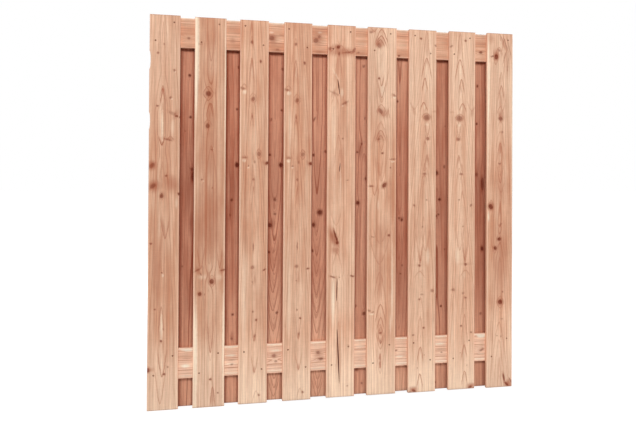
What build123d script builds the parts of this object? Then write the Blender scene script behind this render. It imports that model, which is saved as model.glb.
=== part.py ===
from build123d import *
import os

# A fence panel that hangs between two posts. Upright boards are screwed to both faces of
# two rails, and each back board closes the gap between two front boards, so that the wind
# gets through and nobody sees through.
# The origin is the centre of the lower rail's left end, where the panel meets its left
# post. X runs along the panel, Y from the front boards to the back boards, and Z up.
# All sizes are in millimetres.

# Overall size
panel_width = 1800.0
panel_height = 1800.0

# Sawn and planed stock
board_width = 140.0
board_thickness = 16.0
board_arris = 4.0
rail_width = 140.0
rail_thickness = 16.0
rail_arris = 4.0

# Where the rails sit, from the foot and from the top of the panel
lower_rail_rise = 133.0
upper_rail_drop = 5.0

# How each front board differs from the stock size and from an even spacing, left to right:
# extra width, drift to the right, top below the panel's top, foot above the panel's foot.
# The first and last boards stay flush with the ends of the rails, so their drift is 0.
front_boards = [
    (-2.0, 0.0, 0.0, 0.0),
    (5.0, -3.0, 2.0, 0.0),
    (-5.0, -7.5, 2.5, 3.0),
    (-4.0, -6.5, 3.0, 4.5),
    (0.0, -1.0, 3.5, 6.0),
    (7.0, -4.0, 3.0, 5.0),
    (4.0, -2.0, 4.0, 3.0),
    (2.0, 0.5, 2.0, 4.0),
    (2.0, 0.0, 0.0, 1.0),
]

# The same for each back board, whose drift is counted from the middle of its gap
back_boards = [
    (0.0, 2.0, 3.0, 1.0),
    (1.0, -3.0, 3.5, 2.0),
    (-2.0, 1.5, 3.0, 3.0),
    (0.0, -2.0, 4.0, 3.5),
    (2.0, 2.5, 3.0, 3.0),
    (-1.0, -1.0, 4.0, 4.0),
    (0.0, 3.0, 3.5, 2.5),
    (1.0, -2.0, 2.0, 1.5),
]

# Drying splits in the face of one front board, as lower tip above the panel's foot, length,
# width at the middle, distance right of the board's centre line, and lean to the left
split_board = 5
split_depth = 10.0
splits = [
    (75.0, 262.0, 5.0, -4.0, 2.2),
    (472.0, 98.0, 2.4, -16.5, -1.0),
]

# Hollows where bark ran under the outer edge of the first board, as height of the middle
# above the panel's foot, length along the edge, and depth
hollow_board = 1
edge_hollows = [
    (1592.0, 84.0, 5.5),
    (1316.0, 76.0, 5.0),
]

foot_z = -(lower_rail_rise + rail_width / 2)
top_z = foot_z + panel_height
front_y = -(rail_thickness + board_thickness) / 2
back_y = (rail_thickness + board_thickness) / 2


def plank(width, thickness, length, arris):
    """A planed length of wood with rounded long edges, standing up from Z = 0."""
    radius = min(arris, 0.49 * thickness)
    return extrude(RectangleRounded(width, thickness, radius), length)


def upright(width, centre_x, centre_y, top_drop, foot_lift):
    """A board that stands on one face of the rails."""
    length = panel_height - top_drop - foot_lift
    board = plank(width, board_thickness, length, board_arris)
    return Pos(centre_x, centre_y, foot_z + foot_lift) * board


def rail(centre_z):
    """A rail that runs along the whole panel, on edge between the two faces of boards."""
    standing = plank(rail_width, rail_thickness, panel_width, rail_arris)
    return Pos(0, 0, centre_z) * Rot(0, 90, 0) * standing


def split_cut(height, length, width, offset, lean, centre_x):
    """The slender pointed opening of a drying split, sunk into a front board's face."""
    face_y = front_y - board_thickness / 2
    outline = make_face([
        ThreePointArc((0, 0), (-width / 2, length / 2), (0, length)),
        ThreePointArc((0, length), (width / 2, length / 2), (0, 0)),
    ])
    opening = extrude(Plane.XZ * outline, amount=split_depth, both=True)
    return Pos(centre_x + offset, face_y, foot_z + height) * Rot(0, -lean, 0) * opening


def edge_cut(height, length, depth):
    """A shallow round-bottomed hollow across the panel's left edge."""
    radius = (length * length / 4 + depth * depth) / (2 * depth)
    bar = Rot(90, 0, 0) * Cylinder(radius, 2 * board_thickness)
    return Pos(depth - radius, front_y, foot_z + height) * bar


def front_positions():
    """Width and centre of each front board, with the end boards flush with the rails."""
    last = len(front_boards) - 1
    pitch = (panel_width - board_width) / last
    places = []
    for index, (extra, drift, _, _) in enumerate(front_boards):
        width = board_width + extra
        centre = board_width / 2 + index * pitch + drift
        if index == 0:
            centre = width / 2
        if index == last:
            centre = panel_width - width / 2
        places.append((width, centre))
    return places


def gap_centres(places):
    """The middle of each gap between two neighbouring front boards."""
    centres = []
    for (left_width, left), (right_width, right) in zip(places, places[1:]):
        centres.append((left + left_width / 2 + right - right_width / 2) / 2)
    return centres


def front_face(places):
    """The front boards, with their splits and hollows, by name."""
    made = {}
    rows = zip(places, front_boards)
    for number, ((width, centre), (_, _, drop, lift)) in enumerate(rows, start=1):
        board = upright(width, centre, front_y, drop, lift)
        if number == split_board:
            for height, length, opening, offset, lean in splits:
                board -= split_cut(height, length, opening, offset, lean, centre)
        if number == hollow_board:
            for height, length, depth in edge_hollows:
                board -= edge_cut(height, length, depth)
        made[f"front_board_{number}"] = board
    return made


def back_face(places):
    """The back boards, each behind one gap of the front face, by name."""
    made = {}
    rows = zip(gap_centres(places), back_boards)
    for number, (middle, (extra, drift, drop, lift)) in enumerate(rows, start=1):
        board = upright(board_width + extra, middle + drift, back_y, drop, lift)
        made[f"back_board_{number}"] = board
    return made


def rails():
    """The two rails between the faces, by name."""
    return {
        "lower_rail": rail(0.0),
        "upper_rail": rail(top_z - upper_rail_drop - rail_width / 2),
    }


places = front_positions()
pieces = {**front_face(places), **back_face(places), **rails()}

os.makedirs("parts", exist_ok=True)
for name, piece in pieces.items():
    export_step(piece, f"parts/{name}.step")
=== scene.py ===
"""A fence panel of upright planed softwood boards on two rails, dressed on its CAD frame.

Everything is in metres in the row frame: X runs along the panel, Y from the front boards to the
back boards, Z up. Places on the wood's faces are given in panel millimetres, counted from the
panel's left end and from its foot.
"""
import logging
import math
from dataclasses import dataclass, replace
from enum import Enum
from typing import Self

import bmesh
import bpy
from mathutils import Matrix, Vector, noise


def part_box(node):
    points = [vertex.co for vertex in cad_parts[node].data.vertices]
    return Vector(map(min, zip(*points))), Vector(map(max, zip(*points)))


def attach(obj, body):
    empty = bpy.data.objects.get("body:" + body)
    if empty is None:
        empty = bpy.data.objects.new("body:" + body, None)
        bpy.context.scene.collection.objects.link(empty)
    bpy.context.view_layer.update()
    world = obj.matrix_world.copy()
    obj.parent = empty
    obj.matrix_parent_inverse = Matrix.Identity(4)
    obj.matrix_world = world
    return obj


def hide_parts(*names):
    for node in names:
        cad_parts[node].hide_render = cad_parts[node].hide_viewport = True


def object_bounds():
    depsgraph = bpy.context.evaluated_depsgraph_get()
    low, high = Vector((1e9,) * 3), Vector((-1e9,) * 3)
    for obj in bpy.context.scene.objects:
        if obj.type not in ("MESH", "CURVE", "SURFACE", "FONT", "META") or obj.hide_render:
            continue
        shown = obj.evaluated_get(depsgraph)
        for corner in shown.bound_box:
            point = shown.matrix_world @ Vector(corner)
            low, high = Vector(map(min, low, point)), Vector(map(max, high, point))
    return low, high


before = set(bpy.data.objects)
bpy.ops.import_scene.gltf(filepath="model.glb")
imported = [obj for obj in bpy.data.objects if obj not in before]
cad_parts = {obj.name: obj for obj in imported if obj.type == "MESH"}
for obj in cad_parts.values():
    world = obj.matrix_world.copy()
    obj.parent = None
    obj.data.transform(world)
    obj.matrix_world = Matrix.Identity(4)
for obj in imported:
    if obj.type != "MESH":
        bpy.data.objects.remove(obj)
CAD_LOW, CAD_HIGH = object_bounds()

LOG = logging.getLogger("panel")

MM = 0.001
ROOT = "root"
# Room between the planed faces and the CAD box for the crowns of the screw heads
HEAD_ROOM = 0.35 * MM
# The seen face of the front boards, the back boards and the rails, in millimetres along Y
FRONT_FACE = (CAD_LOW[1] + HEAD_ROOM) / MM
BACK_FACE = 8.0
RAIL_FACE = -8.0
# Columns of vertices that follow the splits. A split's width at its floor and the depth of its
# walls are shares of its full width and depth, its depth is in millimetres, and SPLIT_SHUT is
# half its width where it is shut
SPLIT_STEPS = (-2, -1, 0, 1, 2)
SPLIT_FLOOR = 0.7
SPLIT_WALL = 0.75
SPLIT_DEPTH = 9.0
SPLIT_SHUT = 0.15 * MM
SHARP_ANGLE = math.radians(50)

Vec3 = tuple[float, float, float]
Display = tuple[int, int, int]
Socket = bpy.types.NodeSocket


class Grain(Enum):
    """The direction in which the fibres of a piece run."""

    UP = "up"
    ALONG = "along"


class Side(Enum):
    """The face of the panel that a piece or a screw belongs to, as the sign of its Y."""

    FRONT = -1
    BACK = 1


def linear(colour: Display, lightness: float = 1.0) -> tuple[float, float, float, float]:
    """Turns a display colour into a scene colour.

    Args:
        colour: Display red, green and blue, 0 to 255.
        lightness: Factor on the scene colour.

    Returns:
        Linear red, green, blue and an alpha of 1.
    """
    parts = []
    for level in colour:
        share = level / 255.0
        value = share / 12.92 if share <= 0.04045 else ((share + 0.055) / 1.055) ** 2.4
        parts.append(value * lightness)
    return (*parts, 1.0)


@dataclass(frozen=True)
class Ease:
    """A smooth step: where it begins and ends, and its result before and after."""

    low: float
    high: float
    start: float = 0.0
    end: float = 1.0


@dataclass(frozen=True)
class Pattern:
    """A noise: how fast it changes along each axis per millimetre, where each seed reads it,
    its detail and its roughness."""

    scale: Vec3
    step: Vec3 = (0.0, 0.0, 0.0)
    detail: float = 2.0
    roughness: float = 0.5


class Graph:
    """A node tree with short ways to add nodes and join them."""

    def __init__(self, tree: bpy.types.NodeTree) -> None:
        """Keeps the tree that the nodes go into."""
        self.tree = tree

    def node(self, kind: str, **settings: object) -> bpy.types.Node:
        """Adds a node.

        Args:
            kind: Blender's name for the node type.
            **settings: Properties to set on it.

        Returns:
            The new node.
        """
        made = self.tree.nodes.new(kind)
        for name, value in settings.items():
            setattr(made, name, value)
        return made

    def feed(self, socket: Socket, value: object) -> None:
        """Joins a socket to another one, or gives it a plain value."""
        if isinstance(value, bpy.types.NodeSocket):
            self.tree.links.new(value, socket)
        else:
            socket.default_value = value

    def math(self, operation: str, *values: object, clamp: bool = False) -> Socket:
        """Adds a Math node.

        Args:
            operation: Blender's name for the operation.
            *values: Its sockets or numbers.
            clamp: Whether the result is kept between 0 and 1.

        Returns:
            The result's socket.
        """
        made = self.node("ShaderNodeMath", operation=operation, use_clamp=clamp)
        for socket, value in zip(made.inputs, values):
            self.feed(socket, value)
        return made.outputs[0]

    def plus(self, first: object, second: object) -> Socket:
        """The sum of two values."""
        return self.math("ADD", first, second)

    def minus(self, first: object, second: object) -> Socket:
        """The first value less the second."""
        return self.math("SUBTRACT", first, second)

    def times(self, first: object, second: object, clamp: bool = False) -> Socket:
        """The product of two values, kept between 0 and 1 where clamp says so."""
        return self.math("MULTIPLY", first, second, clamp=clamp)

    def times_plus(self, first: object, second: object, third: object) -> Socket:
        """The product of two values, plus a third."""
        return self.math("MULTIPLY_ADD", first, second, third)

    def largest(self, first: object, second: object, clamp: bool = False) -> Socket:
        """The larger of two values, kept between 0 and 1 where clamp says so."""
        return self.math("MAXIMUM", first, second, clamp=clamp)

    def vector(self, operation: str, first: object, second: object) -> Socket:
        """Adds a Vector Math node and returns its vector result."""
        made = self.node("ShaderNodeVectorMath", operation=operation)
        self.feed(made.inputs[0], first)
        self.feed(made.inputs[1], second)
        return made.outputs[0]

    def scaled(self, vector: object, factor: object) -> Socket:
        """A vector or a colour times one factor."""
        made = self.node("ShaderNodeVectorMath", operation="SCALE")
        self.feed(made.inputs[0], vector)
        self.feed(made.inputs["Scale"], factor)
        return made.outputs[0]

    def length(self, value: object) -> Socket:
        """The length of a vector."""
        made = self.node("ShaderNodeVectorMath", operation="LENGTH")
        self.feed(made.inputs[0], value)
        return made.outputs["Value"]

    def parts(self, value: object) -> list[Socket]:
        """The X, Y and Z of a vector."""
        made = self.node("ShaderNodeSeparateXYZ")
        self.feed(made.inputs[0], value)
        return list(made.outputs)

    def joined(self, *values: object) -> Socket:
        """A vector made of its X, Y and Z."""
        made = self.node("ShaderNodeCombineXYZ")
        for socket, value in zip(made.inputs, values):
            self.feed(socket, value)
        return made.outputs[0]

    def eased(self, value: object, step: Ease) -> Socket:
        """Eases a value from one level to another.

        Args:
            value: Socket that is read.
            step: Where it changes, and from what to what.

        Returns:
            The eased value's socket.
        """
        made = self.node("ShaderNodeMapRange", interpolation_type="SMOOTHSTEP")
        for name, level in (("Value", value), ("From Min", step.low), ("From Max", step.high),
                            ("To Min", step.start), ("To Max", step.end)):
            self.feed(made.inputs[name], level)
        return made.outputs["Result"]

    def mix(self, factor: object, first: object, second: object) -> Socket:
        """Mixes two colours.

        Args:
            factor: Share of the second colour.
            first: First colour.
            second: Second colour.

        Returns:
            The mixed colour's socket.
        """
        made = self.node("ShaderNodeMix", data_type="RGBA", blend_type="MIX")
        colours = [socket for socket in made.inputs if socket.type == "RGBA"]
        self.feed(made.inputs["Factor"], factor)
        self.feed(colours[0], first)
        self.feed(colours[1], second)
        return [socket for socket in made.outputs if socket.type == "RGBA"][0]

    def noise(self, vector: object, pattern: Pattern, seed: object = None) -> bpy.types.Node:
        """Adds a noise.

        Args:
            vector: Socket of the place in millimetres.
            pattern: The noise's scale and kind.
            seed: Socket or number that moves the place by so many of the pattern's steps.

        Returns:
            The noise node, whose Fac is about 0.5 on average.
        """
        place = self.vector("MULTIPLY", vector, pattern.scale)
        if seed is not None:
            place = self.vector("ADD", place, self.scaled(pattern.step, seed))
        made = self.node("ShaderNodeTexNoise")
        self.feed(made.inputs["Vector"], place)
        self.feed(made.inputs["Scale"], 1.0)
        self.feed(made.inputs["Detail"], pattern.detail)
        self.feed(made.inputs["Roughness"], pattern.roughness)
        return made

    def output(self, kind: str, surface: Socket) -> None:
        """Joins a surface to the tree's output node."""
        self.feed(self.node(kind).inputs["Surface"], surface)


def empty_material(name: str) -> tuple[bpy.types.Material, Graph]:
    """A new material and the graph of its empty node tree."""
    made = bpy.data.materials.new(name)
    made.use_nodes = True
    made.node_tree.nodes.clear()
    return made, Graph(made.node_tree)


def object_of(shape: bmesh.types.BMesh, name: str, finish: bpy.types.Material) -> bpy.types.Object:
    """Turns a finished mesh into an object of the scene.

    Args:
        shape: The mesh, which is freed.
        name: The object's name.
        finish: Its material.

    Returns:
        The new object.
    """
    mesh = bpy.data.meshes.new(name)
    shape.to_mesh(mesh)
    shape.free()
    mesh.materials.append(finish)
    made = bpy.data.objects.new(name, mesh)
    bpy.context.scene.collection.objects.link(made)
    return made


class SocketKind(Enum):
    """Socket types that the shared node groups use."""

    NUMBER = "NodeSocketFloat"
    VECTOR = "NodeSocketVector"
    COLOUR = "NodeSocketColor"


NUMBER = SocketKind.NUMBER
VECTOR = SocketKind.VECTOR
COLOUR = SocketKind.COLOUR
Sockets = dict[SocketKind, tuple[str, ...]]


class SharedGroup:
    """A shader node group with named sockets, built once and placed in many materials."""

    def __init__(self, name: str, inputs: Sockets, outputs: Sockets) -> None:
        """Makes the empty group with its sockets."""
        self.tree = bpy.data.node_groups.new(name, "ShaderNodeTree")
        for way, sockets in (("INPUT", inputs), ("OUTPUT", outputs)):
            for kind, labels in sockets.items():
                for label in labels:
                    self.tree.interface.new_socket(name=label, in_out=way, socket_type=kind.value)
        self.graph = Graph(self.tree)
        self.given = self.graph.node("NodeGroupInput").outputs
        self.result = self.graph.node("NodeGroupOutput").inputs

    def place(self, graph: Graph, values: dict[str, object]) -> bpy.types.bpy_prop_collection:
        """Places the group in a material.

        Args:
            graph: The material's graph.
            values: Socket or plain value for each input by name.

        Returns:
            The placed group's output sockets.
        """
        node = graph.node("ShaderNodeGroup")
        node.node_tree = self.tree
        for label, value in values.items():
            graph.feed(node.inputs[label], value)
        return node.outputs


class WoodGroups:
    """The node groups that every wooden piece shares. Their vectors are in board millimetres:
    X across the face, Y through the thickness, Z along the fibres."""

    # How the pith sways, how the rings swell and ripple, the ripple's depth in millimetres, and
    # the height in metres at which a leaning pith stands in its own place
    SWAY = Pattern((0.002, 0.002, 0.0022), (3.7, 1.9, 7.3))
    SWELL = Pattern((0.0, 0.0, 0.0042), (9.1, 4.3, 2.9))
    RIPPLE = Pattern((0.05, 0.05, 0.011), (5.1, 2.3, 1.7))
    RIPPLE_DEPTH = 4.0
    LEAN_HEIGHT = 0.9

    # Bulge of the rings round an eye and a knot, in ovals, and a knot's bulge drawn out along Z
    EYE_SPREAD = 1.0
    KNOT_SPREAD = 1.7
    KNOT_DRAWN = (1.0, 1.0, 0.45)

    # A patch's soft outline. An arch's curve, its line and the shade inside it, by distance in
    # line thicknesses, and how it fades along its height
    PATCH_FADE = Ease(0.1, 1.3, 1.0, 0.0)
    ARCH_POWER = 1.6
    LINE_FADE = Ease(0.2, 1.0, 1.0, 0.0)
    LINE_SHADE = Ease(0.0, 3.5, 0.45, 0.0)
    ARCH_FADE = Ease(0.5, 1.0, 1.0, 0.0)

    # Late wood within one ring, and how much of it a ring has. Finer lines lie between the rings
    LATE_RISE = Ease(0.62, 0.9)
    LATE_FALL = Ease(0.91, 0.99, 1.0, 0.0)
    LATE_RARE = 2.0
    LATE_SPAN = 1.25
    LATE_LEAST = 0.3
    FINE_WIDTH = 0.31
    FINE_SEED = 41.0
    FINE_SHARE = 0.4

    # The ground: fibres, streaks along them, broad bands and blotches of heartwood, a red flush
    # and the planer's chatter marks across the board
    FIBRE = Pattern((0.9, 0.9, 0.022), (11.0, 5.0, 3.0), 3.0, 0.6)
    STREAK = Pattern((0.16, 0.16, 0.0016), (4.0, 9.0, 1.0), 2.0, 0.6)
    BAND = Pattern((0.04, 0.04, 0.001), (2.0, 7.0, 13.0), 3.0, 0.6)
    BLOTCH = Pattern((0.02, 0.02, 0.005), (17.0, 3.0, 5.0))
    FLUSH = Pattern((0.07, 0.07, 0.006), (23.0, 13.0, 19.0), 3.0, 0.6)
    CHATTER = Pattern((0.03, 0.03, 0.2), (29.0, 31.0, 37.0), 2.0, 0.6)
    BAND_SHARE = 0.8
    BLOTCH_SHARE = 0.5
    HEARTWOOD = Ease(0.42, 0.88)
    FLUSHED = Ease(0.45, 0.75, 0.0, 0.16)
    CHATTER_SHARE = 0.13
    STREAK_DRAW = 1.2
    PALE_CLEARS = -0.35

    # A knot by distance in its own radius: halo, core, rim of bark, rings and mottle
    HALO = Ease(0.9, 2.4, 1.0, 0.0)
    HALO_SHARE = 0.55
    CORE = Ease(0.55, 1.2, 1.0, 0.0)
    BARK_RISE = Ease(0.7, 0.95)
    BARK_FALL = Ease(0.98, 1.2, 1.0, 0.0)
    BARK_SHARE = 0.8
    KNOT_TURNS = 12.0
    KNOT_RING = 0.16
    MOTTLE = Pattern((0.24, 0.24, 0.2), roughness=0.6)
    MOTTLED = Ease(0.35, 0.62, 1.12, 0.78)

    # Roughness of plain wood and what late wood and fibres change in it, and the relief of
    # late wood, fibres and knots
    DULL = 0.66
    LATE_GLOSS = -0.08
    FIBRE_DULL = 0.2
    LATE_RELIEF = 0.2
    FIBRE_RELIEF = 1.4
    KNOT_RELIEF = -0.8

    # The painted highlight on the flat beside the long edges and the painted shade on the edge itself, in
    # millimetres from the edge
    FLAT_HIGHLIGHT = Ease(3.0, 8.0, 1.0, 0.0)
    CORNER_SHADE = Ease(0.6, 2.4, 0.45, 0.0)

    # Sawn ends: how far a face looks along the fibres, the saw's marks and the rim's darkness
    END_FACING = Ease(0.6, 0.85)
    SAW = Pattern((0.25, 2.6, 0.3), roughness=0.6)
    SAW_SHARE = 0.5
    SAW_LEAST = 0.3
    SAW_RELIEF = 2.0
    END_RIM = Ease(1.0, 5.0, 0.5, 0.0)

    def __init__(self) -> None:
        """Builds the groups."""
        self.rings = self.build_rings()
        self.eye = self.build_eye()
        self.knot = self.build_knot()
        self.patch = self.build_patch()
        self.arch = self.build_arch()
        self.face = self.build_face()
        self.end = self.build_end()

    def build_rings(self) -> SharedGroup:
        """Distance from the tree's pith, which sways and swells along the board."""
        group = SharedGroup(
            "Growth rings",
            {VECTOR: ("Vector",), NUMBER: ("Pith X", "Pith Depth", "Face Y", "Apex", "Taper", "Lean",
                                           "Shift", "Sway", "Swell", "Seed")},
            {NUMBER: ("Field",)})
        graph, given = group.graph, group.given
        x, y, z = graph.parts(given["Vector"])
        rise = graph.times(z, MM)
        from_middle = graph.minus(rise, self.LEAN_HEIGHT)
        leaning = graph.times_plus(from_middle, given["Lean"], given["Pith X"])
        sway = self.drift(graph, given, self.SWAY)
        across = graph.times_plus(sway, given["Sway"], graph.minus(x, leaning))
        inward = graph.plus(graph.minus(y, given["Face Y"]), given["Pith Depth"])
        start = graph.minus(given["Shift"], given["Pith Depth"])
        radius = graph.plus(graph.length(graph.joined(across, inward)), start)
        from_apex = graph.minus(rise, graph.times(given["Apex"], MM))
        tapered = graph.times_plus(from_apex, given["Taper"], radius)
        swell = self.drift(graph, given, self.SWELL)
        swollen = graph.times_plus(swell, given["Swell"], tapered)
        ripple = self.drift(graph, given, self.RIPPLE)
        graph.feed(group.result["Field"], graph.times_plus(ripple, self.RIPPLE_DEPTH, swollen))
        return group

    def drift(self, graph: Graph, given: object, pattern: Pattern) -> Socket:
        """A noise about 0, different for each seed.

        Args:
            graph: The group's graph.
            given: The group's inputs, with Vector and Seed.
            pattern: The noise's scale and kind.

        Returns:
            The noise's socket, from about -0.5 to 0.5.
        """
        return graph.minus(graph.noise(given["Vector"], pattern, given["Seed"]).outputs["Fac"], 0.5)

    def oval(self, graph: Graph, given: object, tilted: bool) -> Socket:
        """Place inside an upright oval, with a length of 1 on its outline.

        Args:
            graph: The group's graph.
            given: The group's inputs, with Vector, X, Z, Width, Height and maybe Tilt.
            tilted: Whether the oval leans.

        Returns:
            The scaled vector's socket.
        """
        centre = graph.joined(given["X"], 0.0, given["Z"])
        local = graph.vector("SUBTRACT", given["Vector"], centre)
        if tilted:
            turn = graph.node("ShaderNodeVectorRotate", rotation_type="Y_AXIS")
            graph.feed(turn.inputs["Vector"], local)
            graph.feed(turn.inputs["Angle"], given["Tilt"])
            local = turn.outputs[0]
        wide = graph.math("DIVIDE", 2.0, given["Width"])
        high = graph.math("DIVIDE", 2.0, given["Height"])
        return graph.vector("MULTIPLY", local, graph.joined(wide, 0.0, high))

    def bell(self, graph: Graph, reach: Socket, spread: float) -> Socket:
        """A bell curve of a distance: 1 at the middle, fading at about the spread."""
        share = graph.math("DIVIDE", reach, spread)
        return graph.math("EXPONENT", graph.times(graph.times(share, share), -1.0))

    def build_eye(self) -> SharedGroup:
        """A long oval of rings round a bulge in the tree, with no knot in it."""
        group = SharedGroup(
            "Figure eye",
            {VECTOR: ("Vector",), NUMBER: ("Field", "X", "Z", "Width", "Height", "Swell")},
            {NUMBER: ("Field",)})
        graph, given = group.graph, group.given
        bell = self.bell(graph, graph.length(self.oval(graph, given, tilted=False)), self.EYE_SPREAD)
        graph.feed(group.result["Field"], graph.times_plus(bell, given["Swell"], given["Field"]))
        return group

    def build_knot(self) -> SharedGroup:
        """A branch's stub: the rings part round it, and the nearest knot sets the tone."""
        group = SharedGroup(
            "Knot",
            {VECTOR: ("Vector",), NUMBER: ("Field", "Reach", "Tone", "X", "Z", "Width", "Height",
                                           "Tilt", "Darkness", "Swell")},
            {NUMBER: ("Field", "Reach", "Tone")})
        graph, given = group.graph, group.given
        place = self.oval(graph, given, tilted=True)
        reach = graph.length(place)
        drawn = graph.vector("MULTIPLY", place, self.KNOT_DRAWN)
        bell = self.bell(graph, graph.length(drawn), self.KNOT_SPREAD)
        nearer = graph.math("LESS_THAN", reach, given["Reach"])
        change = graph.minus(given["Darkness"], given["Tone"])
        graph.feed(group.result["Field"], graph.times_plus(bell, given["Swell"], given["Field"]))
        graph.feed(group.result["Reach"], graph.math("MINIMUM", reach, given["Reach"]))
        graph.feed(group.result["Tone"], graph.times_plus(nearer, change, given["Tone"]))
        return group

    def build_patch(self) -> SharedGroup:
        """The share of a soft oval patch or streak, pale or deep, over those before it."""
        group = SharedGroup(
            "Soft patch",
            {VECTOR: ("Vector",), NUMBER: ("Patch", "X", "Z", "Width", "Height", "Tilt", "Strength")},
            {NUMBER: ("Patch",)})
        graph, given = group.graph, group.given
        reach = graph.length(self.oval(graph, given, tilted=True))
        share = graph.times(graph.eased(reach, self.PATCH_FADE), given["Strength"])
        graph.feed(group.result["Patch"], graph.largest(share, given["Patch"]))
        return group

    def build_arch(self) -> SharedGroup:
        """The share of a dark line of late wood round an apex, over those before it. The
        distance to the curve is its height difference over the length of its slope."""
        group = SharedGroup(
            "Arch line",
            {VECTOR: ("Vector",), NUMBER: ("Line", "X", "Z", "Width", "Height", "Thickness",
                                           "Strength")},
            {NUMBER: ("Line",)})
        graph, given = group.graph, group.given
        x, _, z = graph.parts(given["Vector"])
        along = graph.math("DIVIDE", graph.minus(given["Z"], z), given["Height"])
        half = graph.times(given["Width"], 0.5)
        wide = graph.math("ABSOLUTE", graph.math("DIVIDE", graph.minus(x, given["X"]), half))
        curve = graph.minus(along, graph.math("POWER", wide, self.ARCH_POWER))
        steep = graph.times(graph.math("POWER", wide, self.ARCH_POWER - 1), self.ARCH_POWER)
        slope = graph.joined(graph.math("DIVIDE", steep, half), 0.0,
                             graph.math("DIVIDE", 1.0, given["Height"]))
        away = graph.math("DIVIDE", curve, graph.length(slope))
        thin = graph.math("DIVIDE", away, given["Thickness"])
        line = graph.eased(graph.math("ABSOLUTE", thin), self.LINE_FADE)
        within = graph.math("GREATER_THAN", thin, 0.0)
        shade = graph.times(graph.eased(thin, self.LINE_SHADE), within)
        fade = graph.times(graph.eased(along, self.ARCH_FADE), given["Strength"])
        drawn = graph.times(graph.largest(line, shade), fade)
        graph.feed(group.result["Line"], graph.largest(drawn, given["Line"]))
        return group

    def build_face(self) -> SharedGroup:
        """Colour, roughness and relief of a planed face, from its rings and knots."""
        group = SharedGroup(
            "Planed face",
            {VECTOR: ("Vector",),
             NUMBER: ("Field", "Reach", "Tone", "Patch", "Stain", "Line", "Ring Width", "Contrast",
                      "Streaks", "Seed", "Middle", "Half", "Highlight"),
             COLOUR: ("Cream", "Pale", "Deep", "Late", "Red", "Heart", "Edge")},
            {COLOUR: ("Color",), NUMBER: ("Roughness", "Height")})
        graph, given = group.graph, group.given
        late = self.late_wood(graph, given, given["Ring Width"], 0.0)
        fibre = self.drift(graph, given, self.FIBRE)
        streak = self.drift(graph, given, self.STREAK)
        drawn = graph.times_plus(streak, self.STREAK_DRAW, 1.0)
        pale = graph.times(given["Patch"], drawn, clamp=True)
        ground = self.ground(graph, given, fibre, streak, pale)
        lined = self.ring_lines(graph, given, late, streak, pale, ground)
        highlighted = self.arris_highlight_and_shade(graph, given, drawn, lined)
        # The Stain input carries the wood's stains and, on the back boards, the strips of painted shade
        stain_and_shade = graph.times(given["Stain"], drawn, clamp=True)
        core = graph.eased(given["Reach"], self.CORE)
        stained_and_shaded = graph.mix(stain_and_shade, highlighted, given["Red"])
        graph.feed(group.result["Color"], self.knotted(graph, given, core, stained_and_shaded))
        rough = graph.times_plus(late, self.LATE_GLOSS, self.DULL)
        graph.feed(group.result["Roughness"], graph.times_plus(fibre, self.FIBRE_DULL, rough))
        raised = graph.times_plus(late, self.LATE_RELIEF, graph.times(fibre, self.FIBRE_RELIEF))
        graph.feed(group.result["Height"], graph.times_plus(core, self.KNOT_RELIEF, raised))
        return group

    def ground(self, graph: Graph, given: object, fibre: Socket, streak: Socket,
               pale: Socket) -> Socket:
        """The wood's colour without its rings: sapwood, heartwood, flush, fibres and streaks.

        Args:
            graph: The group's graph.
            given: The group's inputs, with Vector, Seed, Streaks and the colours.
            fibre: Socket of the fibres' noise.
            streak: Socket of the streaks' noise.
            pale: Socket of the pale patches' share.

        Returns:
            The colour's socket.
        """
        band = graph.noise(given["Vector"], self.BAND, given["Seed"]).outputs["Fac"]
        blotch = graph.noise(given["Vector"], self.BLOTCH, given["Seed"]).outputs["Fac"]
        shade = graph.times_plus(blotch, self.BLOTCH_SHARE, graph.times(band, self.BAND_SHARE))
        mixed = graph.mix(graph.eased(shade, self.HEARTWOOD), given["Pale"], given["Deep"])
        bleached = graph.mix(pale, mixed, given["Cream"])
        flush = graph.noise(given["Vector"], self.FLUSH, given["Seed"]).outputs["Fac"]
        flushed = graph.mix(graph.eased(flush, self.FLUSHED), bleached, given["Red"])
        fibred = graph.times_plus(fibre, given["Streaks"], 1.0)
        streaked = graph.times_plus(streak, given["Streaks"], fibred)
        chatter = self.drift(graph, given, self.CHATTER)
        return graph.scaled(flushed, graph.times_plus(chatter, self.CHATTER_SHARE, streaked))

    def ring_lines(self, graph: Graph, given: object, late: Socket, streak: Socket, pale: Socket,
                   colour: Socket) -> Socket:
        """Draws the late wood: the rings, finer lines between them and the placed arches.

        Args:
            graph: The group's graph.
            given: The group's inputs, with Field, Seed, Ring Width, Contrast, Line and Late.
            late: Socket of the rings' late wood.
            streak: Socket of the streaks' noise.
            pale: Socket of the pale patches' share, in which the lines are fainter.
            colour: Socket of the colour before.

        Returns:
            The changed colour's socket.
        """
        strength = graph.times(given["Contrast"], graph.times_plus(pale, self.PALE_CLEARS, 1.0))
        fine_width = graph.times(given["Ring Width"], self.FINE_WIDTH)
        inner = self.late_wood(graph, given, fine_width, self.FINE_SEED)
        fine = graph.times(inner, graph.times(strength, self.FINE_SHARE))
        finely = graph.mix(fine, colour, given["Late"])
        rings = graph.times(late, strength, clamp=True)
        arched = graph.times(given["Line"], graph.plus(streak, 1.0))
        return graph.mix(graph.largest(rings, arched, clamp=True), finely, given["Late"])

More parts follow.
